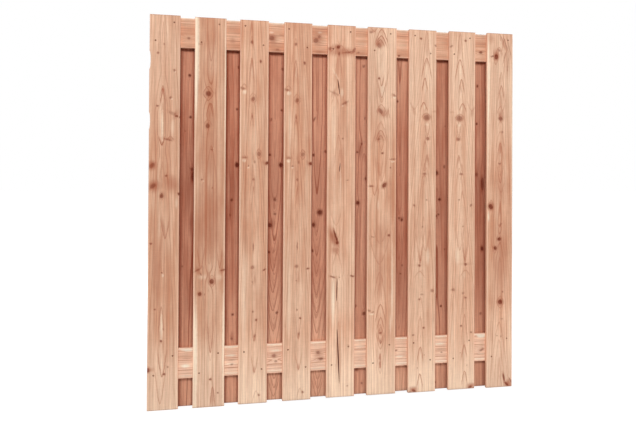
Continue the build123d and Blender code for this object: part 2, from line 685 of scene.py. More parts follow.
    def late_wood(self, graph: Graph, given: object, width: Socket, step: float) -> Socket:
        """The dark line at the end of each ring, of a different strength in each.

        Args:
            graph: The group's graph.
            given: The group's inputs, with Field and Seed.
            width: Socket of the rings' width.
            step: Added to the seed.

        Returns:
            The line's share, from 0 to a little over 1.
        """
        turns = graph.math("DIVIDE", given["Field"], width)
        phase = graph.math("FRACT", turns)
        line = graph.times(graph.eased(phase, self.LATE_RISE), graph.eased(phase, self.LATE_FALL))
        chance = graph.node("ShaderNodeTexWhiteNoise", noise_dimensions="1D")
        place = graph.plus(graph.math("FLOOR", turns), graph.plus(given["Seed"], step))
        graph.feed(chance.inputs["W"], place)
        rare = graph.math("POWER", chance.outputs["Value"], self.LATE_RARE)
        return graph.times(line, graph.times_plus(rare, self.LATE_SPAN, self.LATE_LEAST))

    def arris_highlight_and_shade(self, graph: Graph, given: object, drawn: Socket, colour: Socket) -> Socket:
        """Paints a pale highlight on the flat beside the long edges, and paints shade on the rounded edges.

        Args:
            graph: The group's graph.
            given: The group's inputs, with Vector, Middle, Half, Wear and the colours.
            drawn: Socket of a factor that follows the streaks.
            colour: Socket of the colour before.

        Returns:
            The changed colour's socket.
        """
        x = graph.parts(given["Vector"])[0]
        inside = graph.minus(given["Half"], graph.math("ABSOLUTE", graph.minus(x, given["Middle"])))
        edge = graph.times(graph.eased(inside, self.FLAT_HIGHLIGHT), drawn)
        highlighted = graph.mix(graph.times(edge, given["Highlight"], clamp=True), colour, given["Edge"])
        return graph.mix(graph.eased(inside, self.CORNER_SHADE), highlighted, given["Deep"])

    def knotted(self, graph: Graph, given: object, core: Socket, colour: Socket) -> Socket:
        """Colours the knots: a warm halo, a mottled core with its own rings, a rim of bark.

        Args:
            graph: The group's graph.
            given: The group's inputs, with Vector, Reach, Tone, Red and Heart.
            core: Socket of the knots' cores.
            colour: Socket of the colour before.

        Returns:
            The changed colour's socket.
        """
        near = graph.times(graph.eased(given["Reach"], self.HALO), given["Tone"])
        warmed = graph.mix(graph.times(near, self.HALO_SHARE), colour, given["Red"])
        turns = graph.math("SINE", graph.times(given["Reach"], self.KNOT_TURNS))
        rings = graph.times_plus(turns, self.KNOT_RING, 1 - self.KNOT_RING)
        mottle = graph.noise(given["Vector"], self.MOTTLE).outputs["Fac"]
        mottled = graph.times(rings, graph.eased(mottle, self.MOTTLED))
        inside = graph.times(graph.times(core, given["Tone"]), mottled)
        bark = graph.times(graph.eased(given["Reach"], self.BARK_RISE),
                           graph.eased(given["Reach"], self.BARK_FALL))
        rim = graph.times(bark, graph.times(given["Tone"], self.BARK_SHARE))
        return graph.mix(graph.largest(inside, rim), warmed, given["Heart"])

    def build_end(self) -> SharedGroup:
        """Darkens the sawn ends, where the pores stand open and saw marks show."""
        group = SharedGroup(
            "Sawn end",
            {COLOUR: ("Color", "Dark"), VECTOR: ("Vector",),
             NUMBER: ("Height", "Facing", "Low", "High")},
            {COLOUR: ("Color",), NUMBER: ("Height",)})
        graph, given = group.graph, group.given
        mask = graph.eased(given["Facing"], self.END_FACING)
        cuts = graph.noise(given["Vector"], self.SAW).outputs["Fac"]
        share = graph.times(mask, graph.times_plus(cuts, self.SAW_SHARE, self.SAW_LEAST))
        along = graph.parts(given["Vector"])[2]
        to_end = graph.math("MINIMUM", graph.minus(along, given["Low"]),
                            graph.minus(given["High"], along))
        dark = graph.largest(share, graph.eased(to_end, self.END_RIM))
        graph.feed(group.result["Color"], graph.mix(dark, given["Color"], given["Dark"]))
        saw = graph.times(mask, cuts)
        graph.feed(group.result["Height"],
                   graph.times_plus(saw, self.SAW_RELIEF, given["Height"]))
        return group


@dataclass(frozen=True)
class Mark:
    """Something drawn on the wood: its middle or apex and its size, in panel millimetres."""

    x: float
    z: float
    width: float
    height: float


@dataclass(frozen=True)
class Knot(Mark):
    """A knot, a pitch streak or a dark mark. It leans to the right by its tilt in degrees, and
    the rings part round it by its swell times its width."""

    darkness: float
    tilt: float = 0.0
    swell: float = 0.4


@dataclass(frozen=True)
class Eye(Mark):
    """A long oval in the figure, where the rings bulge by its swell in millimetres."""

    swell: float


@dataclass(frozen=True)
class Pale(Mark):
    """A soft patch or streak of pale wood, which leans to the right by its tilt in degrees. Some
    patches are painted light instead: the washes at the feet, the broad patches over some board
    tops and the streaks along the rails' top edges.
    """

    strength: float
    tilt: float = 0.0


@dataclass(frozen=True)
class Stain(Pale):
    """A soft patch or streak of deep red-brown wood. The strips of painted shade beside the back
    boards' gaps and under the upper rail are made of it too.
    """


@dataclass(frozen=True)
class Arch(Mark):
    """A dark line of late wood that bends round an apex. It opens to its width over its
    height, downward, or upward where the height is below 0."""

    strength: float
    thickness: float = 3.2


def marks(kind: type[Mark], *rows: tuple[float, ...]) -> tuple[Mark, ...]:
    """Marks of one kind, each from a row of its values."""
    return tuple(kind(*row) for row in rows)


def moved(given: tuple[Mark, ...], right: float, up: float = 0.0,
          sign: int = 1) -> tuple[Mark, ...]:
    """Marks in another place.

    Args:
        given: The marks.
        right: How far to the right they move, in millimetres.
        up: How far up they move, in millimetres.
        sign: 1 keeps left and right, and -1 swaps them about the panel's left end first.

    Returns:
        The moved marks.
    """
    found = []
    for mark in given:
        changes = {"x": sign * mark.x + right, "z": mark.z + up}
        if isinstance(mark, (Knot, Pale)):
            changes["tilt"] = sign * mark.tilt
        found.append(replace(mark, **changes))
    return tuple(found)


@dataclass(frozen=True)
class Figure:
    """How the saw met the rings: the pith's place from the board's middle and its depth under
    the face in millimetres, the height of one pointed arch of late wood, how much wider the
    rings lie with each metre of height, how far the pith leans with each metre, how far in all
    the rings are shifted, how far the tree sways and swells, the width of a ring, and how dark
    the late wood is."""

    pith: float = 0.0
    depth: float = 12.0
    apex: float = 900.0
    taper: float = 60.0
    lean: float = 0.0
    shift: float = 0.0
    sway: float = 8.0
    swell: float = 8.0
    ring: float = 14.0
    contrast: float = 0.5


@dataclass(frozen=True)
class WoodTone:
    """The display colours of one kind of face: sapwood, pale and deep heartwood, late wood,
    stains and the painted shade strips, knots and the painted shade in the splits, sawn ends,
    and the painted highlight beside the long edges."""

    cream: Display
    pale: Display
    deep: Display
    late: Display
    red: Display
    heart: Display
    sawn: Display
    edge: Display


@dataclass(frozen=True)
class BoardLook:
    """What sets one board apart from the others: its figure, a factor on its pale, deep and
    late colours, and its marks."""

    figure: Figure
    lightness: float
    knots: tuple[Knot, ...] = ()
    eyes: tuple[Eye, ...] = ()
    pales: tuple[Pale, ...] = ()
    stains: tuple[Stain, ...] = ()
    arches: tuple[Arch, ...] = ()

    def moved(self, right: float, sign: int = 1) -> Self:
        """This look on another board of the panel.

        Args:
            right: How far to the right its marks move, in millimetres.
            sign: 1 keeps left and right, and -1 swaps them about the panel's left end first.

        Returns:
            The look with its marks moved.
        """
        places = {kind: moved(getattr(self, kind), right, sign=sign)
                  for kind in ("knots", "eyes", "pales", "stains", "arches")}
        return replace(self, **places)


FRONT_TONE = WoodTone(cream=(254, 232, 204), pale=(234, 191, 161), deep=(204, 145, 114),
                      late=(164, 82, 52), red=(168, 92, 64), heart=(104, 26, 4), sawn=(158, 104, 76),
                      edge=(252, 208, 180))
BACK_TONE = WoodTone(cream=(230, 178, 148), pale=(212, 152, 124), deep=(182, 112, 86),
                     late=(146, 70, 48), red=(128, 50, 28), heart=(84, 16, 2), sawn=(140, 82, 62),
                     edge=(222, 166, 138))
RAIL_TONE = WoodTone(cream=(255, 242, 220), pale=(234, 190, 160), deep=(208, 150, 120),
                     late=(164, 86, 54), red=(160, 84, 58), heart=(100, 30, 8), sawn=(150, 98, 72),
                     edge=(252, 210, 182))


# The distance to the nearest knot that stands for none, in a knot's radiuses
NO_KNOT = 9.0
# How far under the seen face the painted shade strips reach, in millimetres
SHADE_STRIP_DEPTH = Ease(2.0, 8.0, 1.0, 0.0)
# The wobble of the marks' outlines: its noise, and its reach in millimetres
WOBBLE = Pattern((0.11, 0.11, 0.07))
WOBBLE_SIZE = (5.0, 0.0, 8.0)
# Where painted shade darkens the splits: below the lip, above the board's back and away from its
# long edges, in millimetres, and not on the sawn ends. Then how dark it is at most
SPLIT_LIP = Ease(0.05, 0.6)
SPLIT_END = Ease(11.0, 14.0, 1.0, 0.0)
SPLIT_MARGIN = Ease(6.0, 10.0)
SPLIT_FACING = Ease(0.3, 0.6, 1.0, 0.0)
SPLIT_SHADE = 0.9
# The strength of the relief, and the wood's faint sheen
WOOD_BUMP = 0.6
WOOD_SPECULAR = 0.1


@dataclass(frozen=True)
class WoodFinish:
    """The finish of one piece of wood: its name, colours, look and grain, its middle and half
    width across the fibres and its two ends in panel millimetres, its seen face along Y in
    millimetres, its seed, how strong the painted highlight beside its long edges is, how deep its
    relief is in millimetres, how strong its fibres are, whether it has splits, and its strips of
    painted shade where other wood covers it and a little way out into the gaps."""

    name: str
    tone: WoodTone
    look: BoardLook
    grain: Grain
    middle: float
    half: float
    low: float
    high: float
    face: float
    seed: float
    # wear is the strength of the painted highlight beside the long edges
    wear: float = 0.45
    relief: float = 0.25
    streaks: float = 0.52
    split: bool = False
    painted_shade_strips: tuple[Stain, ...] = ()

    def material(self, groups: WoodGroups) -> bpy.types.Material:
        """Builds the material.

        Args:
            groups: The shared node groups.

        Returns:
            The material.
        """
        made, graph = empty_material(self.name)
        vector, facing = self.coordinates(graph)
        rough_vector = self.roughened(graph, vector)
        stain_and_shade = self.patches(graph, groups, rough_vector, self.look.stains)
        # Painted shade: deep strips on the back boards' seen face beside the gaps and under the upper rail
        if self.painted_shade_strips:
            strips = self.patches(graph, groups, rough_vector, self.painted_shade_strips)
            near = graph.eased(self.under_face(graph, vector), SHADE_STRIP_DEPTH)
            stain_and_shade = graph.largest(stain_and_shade, graph.times(strips, near))
        colours = {label: linear(getattr(self.tone, label.lower()), self.look.lightness)
                   for label in ("Pale", "Deep", "Late")}
        colours |= {label: linear(getattr(self.tone, label.lower()))
                    for label in ("Cream", "Red", "Heart", "Edge")}
        face = groups.face.place(graph, {
            "Vector": vector, **self.rings_and_knots(graph, groups, vector, rough_vector),
            "Patch": self.patches(graph, groups, rough_vector, self.look.pales), "Stain": stain_and_shade,
            "Line": self.lines(graph, groups, rough_vector), "Ring Width": self.look.figure.ring,
            "Contrast": self.look.figure.contrast, "Streaks": self.streaks, "Seed": self.seed,
            "Middle": self.middle, "Half": self.half, "Highlight": self.wear, **colours})
        colour = face["Color"]
        if self.split:
            colour = self.split_shade(graph, vector, facing, colour)
        end = groups.end.place(graph, {
            "Color": colour, "Height": face["Height"], "Vector": vector, "Facing": facing,
            "Dark": linear(self.tone.sawn), "Low": self.low, "High": self.high})
        self.shade(graph, end["Color"], face["Roughness"], end["Height"])
        return made

    def rings_and_knots(self, graph: Graph, groups: WoodGroups, vector: Socket,
                        rough_vector: Socket) -> dict[str, object]:
        """The ring field, bent round the eyes and knots, and the nearest knot.

        Args:
            graph: The material's graph.
            groups: The shared node groups.
            vector: Socket of the place in board millimetres.
            rough_vector: The same with a small wobble.

        Returns:
            The field, the distance to the nearest knot in its radius, and its tone.
        """
        figure = self.look.figure
        field: Socket = groups.rings.place(graph, {
            "Vector": vector, "Pith X": self.middle + figure.pith, "Pith Depth": figure.depth,
            "Face Y": self.face, "Apex": figure.apex, "Taper": figure.taper, "Lean": figure.lean,
            "Shift": figure.shift, "Sway": figure.sway, "Swell": figure.swell,
            "Seed": self.seed})["Field"]
        for eye in self.look.eyes:
            field = groups.eye.place(graph, {
                "Vector": vector, "Field": field, "Swell": eye.swell, **self.spot(eye)})["Field"]
        found = {"Field": field, "Reach": NO_KNOT, "Tone": 0.0}
        for knot in self.look.knots:
            placed = groups.knot.place(graph, {
                "Vector": rough_vector, **found, **self.spot(knot),
                "Tilt": math.radians(-knot.tilt), "Darkness": knot.darkness,
                "Swell": knot.swell * knot.width})
            found = {label: placed[label] for label in found}
        return found

    def patches(self, graph: Graph, groups: WoodGroups, vector: Socket,
                spots: tuple[Pale, ...]) -> object:
        """The strongest of a board's soft patches at each place.

        Args:
            graph: The material's graph.
            groups: The shared node groups.
            vector: Socket of the place in board millimetres.
            spots: The patches.

        Returns:
            The share's socket, or 0 where there is no patch.
        """
        share: object = 0.0
        for spot in spots:
            share = groups.patch.place(graph, {
                "Vector": vector, "Patch": share, "Tilt": math.radians(-spot.tilt),
                "Strength": spot.strength, **self.spot(spot)})["Patch"]
        return share

    def lines(self, graph: Graph, groups: WoodGroups, vector: Socket) -> object:
        """The strongest of a board's arch lines at each place, or 0 where it has none."""
        line: object = 0.0
        for arch in self.look.arches:
            line = groups.arch.place(graph, {
                "Vector": vector, "Line": line, "Thickness": arch.thickness,
                "Strength": arch.strength, **self.spot(arch)})["Line"]
        return line

    def spot(self, mark: Mark) -> dict[str, float]:
        """A mark's place and size across and along this piece, as a group's inputs."""
        place, size = (mark.x, mark.z), (mark.width, mark.height)
        if self.grain is Grain.ALONG:
            place, size = place[::-1], size[::-1]
        return {"X": place[0], "Z": place[1], "Width": size[0], "Height": size[1]}

    def under_face(self, graph: Graph, vector: Socket) -> Socket:
        """How deep a place lies under the seen face, in millimetres."""
        return graph.minus(graph.parts(vector)[1], self.face)

    def split_shade(self, graph: Graph, vector: Socket, facing: Socket, colour: Socket) -> Socket:
        """Paints shade into the inside of the drying splits.

        Args:
            graph: The material's graph.
            vector: Socket of the place in board millimetres.
            facing: Socket of how far the face looks along the fibres.
            colour: Socket of the colour before.

        Returns:
            The changed colour's socket.
        """
        under = self.under_face(graph, vector)
        away = graph.math("ABSOLUTE", graph.minus(graph.parts(vector)[0], self.middle))
        depth = graph.times(graph.eased(under, SPLIT_LIP), graph.eased(under, SPLIT_END))
        central = graph.times(graph.eased(graph.minus(self.half, away), SPLIT_MARGIN),
                              graph.eased(facing, SPLIT_FACING))
        share = graph.times(graph.times(depth, central), SPLIT_SHADE)
        return graph.mix(share, colour, linear(self.tone.heart))

    def coordinates(self, graph: Graph) -> tuple[Socket, Socket]:
        """Board millimetres, and how far a face looks along the fibres.

        Args:
            graph: The material's graph.

        Returns:
            The vector's socket and the socket of a value from 0 to 1.
        """
        place = graph.node("ShaderNodeMapping")
        graph.feed(place.inputs["Vector"], graph.node("ShaderNodeTexCoord").outputs["Object"])
        graph.feed(place.inputs["Scale"], (1 / MM, 1 / MM, 1 / MM))
        graph.feed(place.inputs["Location"], (-CAD_LOW[0] / MM, 0.0, -CAD_LOW[2] / MM))
        x, y, z = graph.parts(place.outputs[0])
        normal = graph.parts(graph.node("ShaderNodeNewGeometry").outputs["Normal"])
        if self.grain is Grain.UP:
            return graph.joined(x, y, z), graph.math("ABSOLUTE", normal[2])
        return graph.joined(z, y, x), graph.math("ABSOLUTE", normal[0])

    def roughened(self, graph: Graph, vector: Socket) -> Socket:
        """The vector with a small wobble, so that no knot is a neat oval."""
        wobble = graph.noise(vector, WOBBLE).outputs["Color"]
        centred = graph.vector("SUBTRACT", wobble, (0.5, 0.5, 0.5))
        return graph.vector("ADD", vector, graph.vector("MULTIPLY", centred, WOBBLE_SIZE))

    def shade(self, graph: Graph, colour: Socket, rough: Socket, height: Socket) -> None:
        """Joins the values to a shader and the shader to the output."""
        bump = graph.node("ShaderNodeBump")
        graph.feed(bump.inputs["Strength"], WOOD_BUMP)
        graph.feed(bump.inputs["Distance"], self.relief * MM)
        graph.feed(bump.inputs["Height"], height)
        shader = graph.node("ShaderNodeBsdfPrincipled")
        graph.feed(shader.inputs["Base Color"], colour)
        graph.feed(shader.inputs["Roughness"], rough)
        graph.feed(shader.inputs["Specular IOR Level"], WOOD_SPECULAR)
        graph.feed(shader.inputs["Normal"], bump.outputs[0])
        graph.output("ShaderNodeOutputMaterial", shader.outputs[0])


@dataclass(frozen=True)
class ScrewFinish:
    """Steel screws with a dull, dark brown coating, in patches of two tones."""

    name: str = "brown_screw_steel"
    light: Display = (112, 44, 12)
    dark: Display = (84, 30, 8)
    patches: Pattern = Pattern((900.0, 900.0, 900.0), detail=3.0, roughness=0.6)
    smoothest: float = 0.4
    dulling: float = 0.3

    def material(self) -> bpy.types.Material:
        """Builds the material."""
        made, graph = empty_material(self.name)
        source = graph.node("ShaderNodeTexCoord").outputs["Object"]
        patches = graph.noise(source, self.patches).outputs["Fac"]
        shader = graph.node("ShaderNodeBsdfPrincipled")
        tint = graph.mix(patches, linear(self.light), linear(self.dark))
        graph.feed(shader.inputs["Base Color"], tint)
        graph.feed(shader.inputs["Specular IOR Level"], 0.0)
        rough = graph.times_plus(patches, self.dulling, self.smoothest)
        graph.feed(shader.inputs["Roughness"], rough)
        graph.output("ShaderNodeOutputMaterial", shader.outputs[0])
        return made


@dataclass(frozen=True)
class Hollow:
    """A shallow hollow in a board's left edge, in panel millimetres."""

    z: float
    length: float
    depth: float


@dataclass(frozen=True)
class Split:
    """A drying split in a board's face, in panel millimetres. It opens to its width in the
    middle and leans to the right by lean, from its lower tip to its upper tip."""

    x: float
    low: float
    high: float
    width: float
    lean: float


# Painted light: the broad pale patch, 400 millimetres wide, over the top of the first, sixth, seventh,
# eighth and ninth boards lightens their upper parts
# The third and fourth front boards are alike, and the eighth is the seventh mirrored
THIRD_LOOK = BoardLook(
    Figure(pith=-3, depth=7, apex=1606, taper=52, lean=-14, sway=5, swell=5, ring=12, contrast=0.34), 1.0,
    knots=marks(Knot, (465, 1694, 10, 12, 0.55), (507, 1606, 8, 13, 0.75, -10),
        (473, 1428, 15, 17, 0.6, 20), (469, 1345, 6, 12, 0.35), (424, 1476, 20, 8, 0.35, 20),
        (434, 1152, 22, 6, 0.35), (501, 1170, 17, 18, 0.5), (539, 1127, 13, 14, 1.0, 60),
        (481, 1132, 6, 12, 0.4), (452, 1113, 6, 7, 0.4), (476, 1050, 9, 10, 0.45),
        (477, 733, 4, 36, 0.6), (474, 638, 14, 13, 0.5), (529, 626, 12, 7, 0.75, -20),
        (477, 432, 6, 9, 0.5), (493, 392, 8, 8, 0.75), (487, 318, 8, 12, 0.45), (507, 41, 9, 8, 0.6),
        (473, 571, 6, 5, 0.35)),
    pales=marks(Pale, (432, 1460, 24, 26, 0.6, 40), (432, 1138, 24, 16, 0.5), (452, 1106, 12, 10, 0.5),
        (436, 480, 34, 600, 0.4), (424, 120, 24, 300, 0.4), (413, 900, 5, 1900, 0.5),
        (476, 300, 16, 300, 0.3), (470, 520, 300, 500, 0.15), (467, 1560, 10, 60, 0.3),
        (440, 1300, 20, 200, 0.25)),
    stains=marks(Stain, (476, 1150, 14, 50, 0.35), (478, 1010, 12, 60, 0.3), (424, 1474, 30, 16, 0.35),
        (434, 1156, 30, 16, 0.35), (526, 1128, 34, 18, 0.35, 70), (484, 160, 16, 44, 0.4),
        (486, 580, 12, 60, 0.3), (486, 308, 14, 40, 0.35), (530, 1300, 20, 500, 0.2)),
    arches=marks(Arch, (465, 1616, 32, 170, 0.5), (464, 1720, 60, 260, 0.25), (467, 1357, 18, 80, 0.45),
        (472, 1455, 44, 30, 0.3), (476, 1410, 36, -24, 0.3), (501, 1194, 26, 22, 0.45),
        (501, 1146, 26, -22, 0.4), (474, 1090, 26, 120, 0.3), (483, 296, 32, -140, 0.4),
        (486, 150, 34, -90, 0.4), (477, 560, 24, -90, 0.25), (430, 1496, 34, 24, 0.4),
        (476, 1010, 24, 140, 0.3), (494, 60, 40, 60, 0.3)))
SEVENTH_LOOK = BoardLook(
    Figure(pith=7, depth=8, apex=1662, taper=92, lean=20, sway=4, swell=4, ring=12, contrast=0.34), 1.05,
    knots=marks(Knot, (1303, 1753, 9, 8, 0.8), (1380, 1722, 8, 12, 0.5, -60),
        (1335, 1362, 26, 24, 0.55), (1340, 1257, 14, 14, 0.5), (1324, 1082, 14, 8, 0.45),
        (1335, 953, 7, 6, 0.45), (1271, 925, 11, 9, 0.55, 40), (1314, 819, 7, 6, 0.35),
        (1299, 628, 11, 10, 0.7), (1366, 502, 14, 12, 0.45), (1312, 484, 12, 8, 0.35),
        (1299, 461, 10, 8, 0.55), (1322, 320, 8, 8, 0.7), (1268, 286, 9, 7, 0.5),
        (1290, 122, 5, 6, 0.35), (1326, 185, 5, 5, 0.35), (1273, 12, 18, 10, 0.75, 20),
        (1252, 6, 12, 8, 0.5)),
    pales=marks(Pale, (1334, 1326, 34, 20, 0.5), (1330, 1600, 14, 120, 0.5), (1326, 1500, 14, 90, 0.55),
        (1322, 1415, 16, 50, 0.5), (1343, 670, 30, 120, 0.55), (1305, 575, 20, 60, 0.35),
        (1307, 175, 18, 110, 0.55), (1304, 50, 16, 80, 0.5), (1268, 150, 34, 320, 0.4),
        (1244, 900, 5, 1900, 0.5), (1370, 250, 20, 440, 0.4), (1356, 1500, 24, 300, 0.3),
        (1310, 900, 900, 9000, 0.15), (1310, 1600, 400, 800, 0.35)),
    stains=marks(Stain, (1266, 1394, 60, 20, 0.35, 75), (1376, 1392, 30, 14, 0.25),
        (1335, 1360, 44, 40, 0.35), (1340, 1257, 34, 24, 0.35), (1337, 1156, 16, 44, 0.35),
        (1268, 18, 56, 34, 0.7), (1300, 630, 110, 16, 0.12), (1305, 655, 12, 50, 0.35),
        (1334, 1700, 18, 120, 0.3), (1324, 1080, 30, 16, 0.25)),
    arches=marks(Arch, (1333, 1656, 62, 130, 0.65), (1332, 1790, 46, 260, 0.45),
        (1324, 1556, 34, 80, 0.65), (1318, 1436, 46, 52, 0.6), (1332, 1384, 60, 30, 0.4),
        (1334, 1345, 60, -30, 0.35), (1338, 1270, 32, -80, 0.45), (1340, 1282, 30, 24, 0.35),
        (1337, 1174, 28, 80, 0.45), (1334, 1110, 50, 160, 0.3), (1302, 640, 56, -240, 0.4),
        (1303, 652, 18, -80, 0.6), (1330, 700, 60, -160, 0.3), (1300, 600, 60, 40, 0.35),
        (1304, 374, 40, 180, 0.4), (1305, 224, 36, 84, 0.6), (1303, 92, 36, 84, 0.6),
        (1305, 470, 44, 140, 0.3), (1268, 1400, 60, -60, 0.3)))
